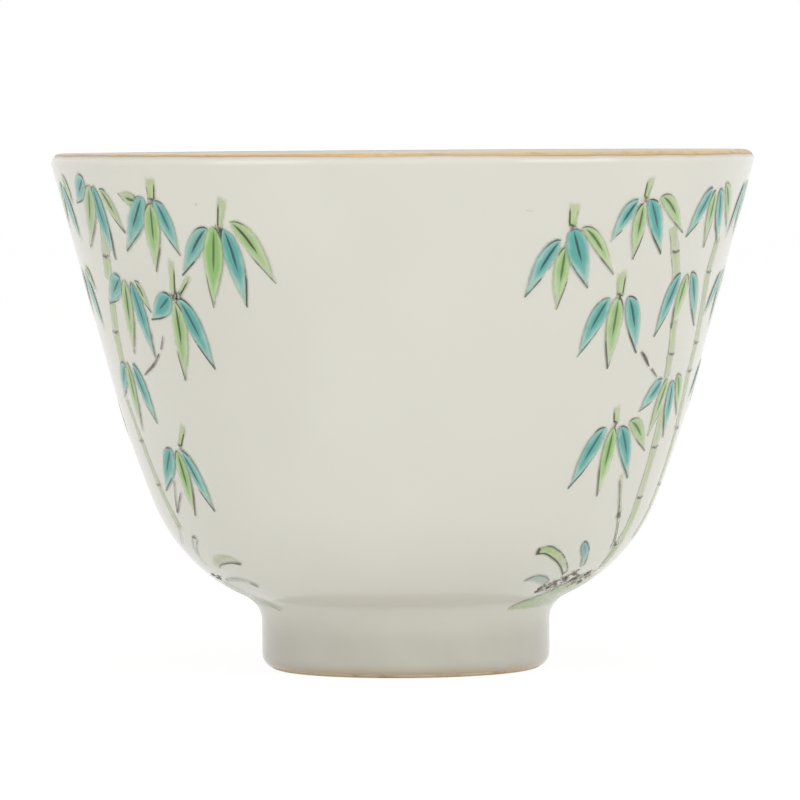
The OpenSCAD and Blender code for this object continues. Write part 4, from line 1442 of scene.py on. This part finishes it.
@dataclass
class Grove:
    """The painted bamboo grove: leaves, canes, twigs, ground, moss and grass, with their ink lines."""

    brush: Brush
    bank: Bank = Bank()
    rng: random.Random = field(default_factory=lambda: random.Random(7))
    leaf_green: EnamelFinish = EnamelFinish(linear(202, 217, 176), linear(142, 190, 108))
    leaf_turquoise: EnamelFinish = EnamelFinish(
        linear(170, 206, 195), linear(90, 170, 162), linear(40, 80, 84))
    cane_green: EnamelFinish = EnamelFinish(
        linear(212, 217, 192), linear(186, 206, 150), line_w=0.08, bleed=0.24, body=0.85)
    twig_green: EnamelFinish = EnamelFinish(linear(204, 216, 172), linear(164, 200, 120), bleed=0.38)
    bank_green: EnamelFinish = EnamelFinish(
        linear(208, 217, 186), linear(176, 203, 140), line_w=0.05, bleed=0.36, body=0.85, core=1.2)
    grass_green: EnamelFinish = EnamelFinish(linear(208, 216, 178), linear(156, 192, 120))
    grass_turquoise: EnamelFinish = EnamelFinish(
        linear(184, 206, 196), linear(84, 158, 160), linear(52, 96, 100))
    ink: InkFinish = InkFinish()
    moss: MossFinish = MossFinish()
    strong_ink: Point = (0.85, 1.0)
    faint_ink: Point = (0.2, 0.5)
    rib_ink: Point = (0.75, 1.0)
    stray: float = 0.16
    tone: float = 0.7
    back_tone: Point = (0.4, 1.0)
    cane_tone: Point = (0.3, 0.8)
    seed_span: float = 90.0
    node_gap: float = 0.1
    cane_layer: int = 0
    cane_waist: float = 0.12
    cane_run: float = 1.0
    cane_fade: float = 0.15
    cane_ink: Point = (0.35, 0.65)
    free_tone: float = -0.6
    side_cane_ink: float = 0.5
    side_leaf_ink: float = 0.6
    twig_fade: float = 0.6
    twig_tones: tuple[float, ...] = (0.8, 0.6, -0.1)
    back_twig_rise: Point = (0.3, 2.3)
    back_twig_w: Point = (0.5, 0.9)
    back_twig_ink: Point = (0.9, 0.5)
    bend_inset: float = 0.4
    twig_layer: int = 1
    grass_layer: int = 3
    leaf_layer: int = 3
    ink_layer: int = 8
    tick_low: float = 17.0
    tick_least: float = 1.0
    tick_reach: float = 0.4
    tick_bend: tuple[float, ...] = (0.12, -0.06, 0.16)
    tick_w: tuple[float, ...] = (0.15, 0.3, 0.15)
    tick_tone: float = 0.8
    joint_slant: float = 0.1
    joint_w: Point = (0.25, 0.2)
    joint_tone: float = 0.75
    knot_w: Point = (0.25, 0.4)
    knot_h: float = 0.6
    knot_tone: float = 0.65
    tuft_h: float = 0.5
    tuft_lean: float = 0.2
    row_h: float = 0.3
    dab_density: float = 6e6
    dab_r: float = 0.32
    dab_form: tuple[float, float, float] = (1.0, 0.8, 0.2)
    dab_sizes: Point = (0.4, 1.0)
    dab_seed: int = 5
    tuft_grid: int = 7
    tuft_lift: float = 0.02
    side_view: Point = (70.0, 90.0)

    def traits(self, **fixed: float) -> dict[str, float]:
        """Numbers that make one stroke differ from the next.

        Args:
            fixed: Numbers that are given.

        Returns:
            A number for each trait.
        """
        strong, faint = self.rng.uniform(*self.strong_ink), self.rng.uniform(*self.faint_ink)
        sides = (strong, faint) if self.rng.random() < 0.5 else (faint, strong)
        made = {
            "seed": self.rng.uniform(0, self.seed_span), "tone": self.tone,
            "left": sides[0], "right": sides[1], "rib": self.rng.uniform(*self.rib_ink),
            "shift": self.rng.uniform(-self.stray, self.stray), "cap": 1.0,
        }
        return made | fixed

    def sprays(self) -> list[Spray]:
        """All the sprays, with the back ones from their forms.

        Returns:
            The sprays.
        """
        back = []
        for azimuth, z, form, way in TWIG_PLACES + CANE_PLACES:
            leaves = tuple(
                Leaf(leaf.hue, (way * leaf.start[0], leaf.start[1]), (way * leaf.tip[0], leaf.tip[1]),
                     leaf.width, way * leaf.bow, self.rng.uniform(*self.back_tone))
                for leaf in SPRAY_FORMS[form]
            )
            back.append(Spray(azimuth, z, leaves))
        return list(SIDE_SPRAYS) + back

    def build_leaves(self) -> list[bpy.types.Object]:
        """Lay the leaves of both enamels.

        Returns:
            The green piece and the turquoise piece.
        """
        laid: dict[Hue, list[Patch]] = {hue: [] for hue in Hue}
        for spray in self.sprays():
            for order, leaf in enumerate(spray.leaves):
                layer = self.leaf_layer + len(spray.leaves) - order
                traits = self.traits(tone=leaf.tone)
                if self.side_view[0] < abs(spray.azimuth) < self.side_view[1]:
                    traits |= {side: self.side_leaf_ink * traits[side] for side in ("left", "right")}
                if leaf.tone > 0:
                    laid[leaf.hue].append(self.brush.leaf(spray, leaf, layer, traits))
        finishes = {Hue.GREEN: self.leaf_green, Hue.TURQUOISE: self.leaf_turquoise}
        pieces = []
        for hue, finish in finishes.items():
            slot = hue.value + "_enamel"
            piece = self.brush.relief(hue.value + "_leaf_enamel", laid[hue], finish.material(slot))
            pieces.append(stand_for(piece, hue.value + "_leaves"))
        return pieces

    def build_canes(self) -> bpy.types.Object:
        """Lay the canes, one stroke from node to node.

        Returns:
            The piece.
        """
        patches = []
        for width, nodes in CANE_LINES:
            for upper, lower in zip(nodes, nodes[1:]):
                drop = abs(upper[1] - lower[1])
                start = (-self.cane_run if upper == nodes[0] else self.node_gap / 2) / drop
                end = 1 + (self.cane_run if lower == nodes[-1] else -self.node_gap / 2) / drop
                first, last = np.array(upper), np.array(lower)
                line = [tuple(first + (last - first) * share) for share in (start, 0.5, end)]
                waist = width - 2 * self.cane_waist
                tone, ink = self.rng.uniform(*self.cane_tone), np.array(self.cane_ink)
                if self.side_view[0] < abs(lower[0]) < self.side_view[1]:
                    ink = ink * self.side_cane_ink
                traits = self.traits(rib=0.0, cap=0.0, left=ink[0], right=ink[1])
                patch = self.brush.stroke(line, [width, waist, waist, width], self.cane_layer, traits)
                top = self.free_tone if upper == nodes[0] else tone
                foot = self.free_tone if lower == nodes[-1] else tone
                at = (0, self.cane_fade, 1 - self.cane_fade, 1)
                patch.traits["tone"] = np.interp(patch.along, at, (top, tone, tone, foot))
                patches.append(patch)
        piece = self.brush.relief("cane_strokes", patches, self.cane_green.material("cane_enamel"))
        return stand_for(piece, "bamboo_canes")

    def build_twigs(self) -> bpy.types.Object:
        """Lay the stubs that the sprays hang from.

        Returns:
            The piece.
        """
        start, end = self.back_twig_rise
        back = [
            ((az, z + start), (az, z + end), *self.back_twig_w, *self.back_twig_ink)
            for az, z, _, _ in TWIG_PLACES
        ]
        patches = []
        for low, high, low_w, high_w, left, right in list(SIDE_TWIGS) + back:
            traits = self.traits(rib=0.0, cap=0.0)
            patch = self.brush.stroke([low, high], [low_w, high_w], self.twig_layer, traits)
            fade = np.interp(patch.along, (0, self.twig_fade, 1), (1, 1, 0))
            tone = np.interp(patch.along, (0, self.twig_fade, 1), self.twig_tones)
            patch.traits |= {"tone": tone, "left": left * fade, "right": right * fade}
            patches.append(patch)
        piece = self.brush.relief("twig_strokes", patches, self.twig_green.material("twig_enamel"))
        return stand_for(piece, "twigs")

    def bent(self, azimuth: float, z: float, radius: float, first: float, last: float) -> Blade:
        """A blade that bends round a middle.

        Args:
            azimuth, z: The middle of the bend.
            radius: Its radius.
            first, last: Its end angles in degrees.

        Returns:
            The blade.
        """
        flat = np.array(arc((0.0, 0.0), radius - self.bend_inset, first, last, 4))
        turned, heights = self.brush.on_wall(azimuth, z, flat[:, 0], flat[:, 1])
        return Blade(tuple(zip(turned.tolist(), heights.tolist())))

    def build_grass(self) -> list[bpy.types.Object]:
        """Lay the bent blades of grass.

        Returns:
            The green piece and the turquoise piece.
        """
        made = []
        for near, back, finish, node in (
            (GREEN_BLADES, BACK_GREEN_BENDS, self.grass_green, "green_grass"),
            (TURQUOISE_BLADES, BACK_TURQUOISE_BENDS, self.grass_turquoise, "turquoise_grass"),
        ):
            blades = list(near) + [self.bent(*bend) for bend in back]
            patches = []
            for blade in blades:
                traits = self.traits(rib=0.0, left=blade.ink[0], right=blade.ink[1])
                patch = self.brush.stroke(list(blade.line), list(blade.widths), self.grass_layer, traits)
                steps = np.linspace(0, 1, len(blade.tones))
                patch.traits["tone"] = np.interp(patch.along, steps, blade.tones)
                patches.append(patch)
            piece = self.brush.relief(node + "_strokes", patches, finish.material(node + "_enamel"))
            made.append(stand_for(piece, node))
        return made

    def build_bank(self) -> bpy.types.Object:
        """Lay the painted ground round the foot.

        Returns:
            The piece.
        """
        bank = self.bank
        azimuth = np.linspace(bank.first, bank.last, bank.steps + 1)
        upper = bank.upper(self.brush.form, azimuth)
        low = np.full_like(upper, bank.low)
        tone = np.interp(azimuth, bank.tone_at, bank.tones)[:, None]
        traits = self.traits(rib=0.0, cap=0.0, left=bank.ink[0], right=bank.ink[1], tone=tone)
        patch = self.brush.band(azimuth, low, np.maximum(upper, bank.low + bank.least_h), traits)
        piece = self.brush.relief("bank_wash", [patch], self.bank_green.material("ground_enamel"))
        return stand_for(piece, "ground_bank")

    def build_moss(self) -> bpy.types.Object:
        """Strew dabs of moss over small tufts of ground.

        Returns:
            The piece.
        """
        form, verts, faces = self.brush.form, [], []
        ticks = np.linspace(-1, 1, self.tuft_grid)
        up, along = np.meshgrid(ticks, ticks, indexing="ij")
        tufts = [(*place, self.tuft_h, self.tuft_lean) for place in MOSS_TUFTS]
        tufts += [(*place, self.row_h, 0.0) for place in MOSS_ROWS]
        for azimuth, z, width, half_h, lean in tufts:
            half = math.degrees(width / 2 / float(form.wall_r(z)))
            heights = z + half_h * up + lean * math.sin(math.radians(azimuth)) * along
            for i in range(len(ticks) - 1):
                for j in range(len(ticks) - 1):
                    a = len(verts) + i * len(ticks) + j
                    faces.append((a, a + 1, a + len(ticks) + 1, a + len(ticks)))
            verts += form.place(azimuth + half * along, heights, np.full_like(up, self.tuft_lift)).tolist()
        mesh = bpy.data.meshes.new("tufts")
        mesh.from_pydata(verts, [], faces)
        values = {
            "Density": self.dab_density, "Size": self.dab_r * MM, "Seed": self.dab_seed,
            "Material": self.moss.material("moss"),
        }
        return ride(dabs_tree(self.dab_form, self.dab_sizes).run("moss", mesh, values))

    def build_ink(self) -> bpy.types.Object:
        """Lay the lines that are ink alone: node ticks, joints and dabs.

        Returns:
            The piece.
        """
        lines = list(INK_LINES)
        for width, nodes in CANE_LINES:
            for azimuth, z in nodes[1:-1]:
                half = math.degrees(self.tick_reach * width / float(self.brush.form.wall_r(z)))
                turns = (azimuth - half, azimuth, azimuth + half)
                smile = tuple((turn, z + lift) for turn, lift in zip(turns, self.tick_bend))
                if width > self.tick_least and z > self.tick_low:
                    lines.append((smile, self.tick_w, self.tick_tone))
        for low, _, width, _, _, _ in SIDE_TWIGS:
            half = math.degrees(width / 2 / float(self.brush.form.wall_r(low[1])))
            joint = ((low[0] - half, low[1] + self.joint_slant), (low[0] + half, low[1] - self.joint_slant))
            lines.append((joint, self.joint_w, self.joint_tone))
            lines.append(((low, (low[0], low[1] - self.knot_h)), self.knot_w, self.knot_tone))
        for azimuth, z, _, _ in TWIG_PLACES:
            knot = ((azimuth, z + self.knot_h / 2), (azimuth, z - self.knot_h / 2))
            lines.append((knot, self.knot_w, self.knot_tone))
        patches = [
            self.brush.stroke(list(line), list(widths), self.ink_layer, self.traits(tone=tone))
            for line, widths, tone in lines
        ]
        return ride(self.brush.relief("ink_lines", patches, self.ink.material("ink")))


@dataclass(frozen=True)
class Studio:
    """Plain pale floor, soft light and the camera of the photograph, in millimetres.

    Each lamp is a name, a place, a size and a power in watts.
    """

    eye: tuple[float, float, float] = (0.0, -790.0, 65.5)
    aim: tuple[float, float, float] = (-0.5, 0.0, 32.16)
    roll: float = 0.4
    focal: float = 296.7
    sensor: float = 36.0
    near: float = 10.0
    floor_size: float = 6000.0
    paper: Colour = linear(240, 240, 238)
    white: Colour = (1.0, 1.0, 1.0, 1.0)
    glow: float = 1.06
    glow_share: float = 0.88
    room_light: float = 0.6
    lamps: tuple[tuple[str, tuple[float, float, float], float, float], ...] = (
        ("left_lamp", (-750, -650, 300), 600, 2.25), ("right_lamp", (800, -550, 180), 600, 3.5),
        ("top_lamp", (0, -300, 900), 700, 1.85),
    )
    lamp_aim: tuple[float, float, float] = (0.0, 0.0, 30.0)

    def build_camera(self) -> None:
        """Set up the camera."""
        data = bpy.data.cameras.new("camera")
        data.sensor_width = self.sensor
        data.lens = self.focal
        data.clip_start = self.near * MM
        camera = bpy.data.objects.new("camera", data)
        bpy.context.scene.collection.objects.link(camera)
        turn = Matrix.Rotation(math.radians(-self.roll), 4, "Z")
        camera.matrix_world = self.looking(self.eye, self.aim) @ turn
        bpy.context.scene.camera = camera

    def looking(self, eye: tuple[float, ...], aim: tuple[float, ...]) -> Matrix:
        """Placement of a camera or lamp.

        Args:
            eye: Where it stands.
            aim: What it looks at.

        Returns:
            Its matrix.
        """
        place, target = Vector(eye) * MM, Vector(aim) * MM
        return Matrix.Translation(place) @ (target - place).to_track_quat("-Z", "Y").to_matrix().to_4x4()

    def build_floor(self) -> bpy.types.Object:
        """Lay a pale floor that keeps the shadow.

        Returns:
            The floor.
        """
        g = Graph("floor")
        paper = g.add("ShaderNodeBsdfDiffuse", Color=self.paper)
        glow = g.add("ShaderNodeEmission", Color=self.white, Strength=self.glow)
        mix = g.add("ShaderNodeMixShader", Fac=g.math("MULTIPLY", g.seen(), self.glow_share))
        for shader, socket in ((paper, mix.inputs[1]), (glow, mix.inputs[2]), (mix, g.output.inputs[0])):
            g.tree.links.new(shader.outputs[0], socket)
        half = self.floor_size / 2 * MM
        corners = np.array([(-half, -half, 0), (half, -half, 0), (half, half, 0), (-half, half, 0)])
        floor = mesh_piece("floor", corners, [(0, 1, 2, 3)], g.material, {})
        return floor

    def build_world(self) -> None:
        """Light the room softly, white where the camera or a reflection sees it."""
        world = bpy.data.worlds.new("room")
        world.use_nodes = True
        room = Tree(world.node_tree)
        world.node_tree.nodes.clear()
        level = room.math("ADD", room.math("MULTIPLY", room.seen(), 1.0 - self.room_light), self.room_light)
        sky = room.add("ShaderNodeBackground", Color=self.white, Strength=level)
        room.feed(room.add("ShaderNodeOutputWorld").inputs[0], sky.outputs[0])
        bpy.context.scene.world = world

    def build_lamps(self) -> None:
        """Hang two large soft lamps in front and one above."""
        for name, place, size, power in self.lamps:
            data = bpy.data.lights.new(name, "AREA")
            data.size = size * MM
            data.energy = power
            lamp = bpy.data.objects.new(name, data)
            bpy.context.scene.collection.objects.link(lamp)
            lamp.matrix_world = self.looking(place, self.lamp_aim)

    def build(self) -> None:
        """Set up the whole studio."""
        bpy.context.scene.view_settings.view_transform = "Standard"
        self.build_camera()
        self.build_floor()
        self.build_world()
        self.build_lamps()


def main() -> None:
    """Build the cup piece by piece and log each piece's face count."""
    logging.basicConfig(level=logging.INFO, format="%(message)s")
    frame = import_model()
    form = CupForm()
    Studio().build()
    ware = Ware(form, frame)
    lathe = lathe_tree()
    pieces = [ware.build_glaze(lathe), ware.build_gilding(lathe)]
    ware.dress_nodes()
    grove = Grove(Brush(form))
    pieces += [grove.build_bank(), grove.build_moss(), grove.build_canes(), grove.build_twigs()]
    pieces += grove.build_grass()
    pieces += grove.build_leaves()
    pieces.append(grove.build_ink())
    for piece in pieces:
        LOG.info("%s: %d faces", piece.name, len(piece.data.polygons))


if __name__ == "__main__":
    main()
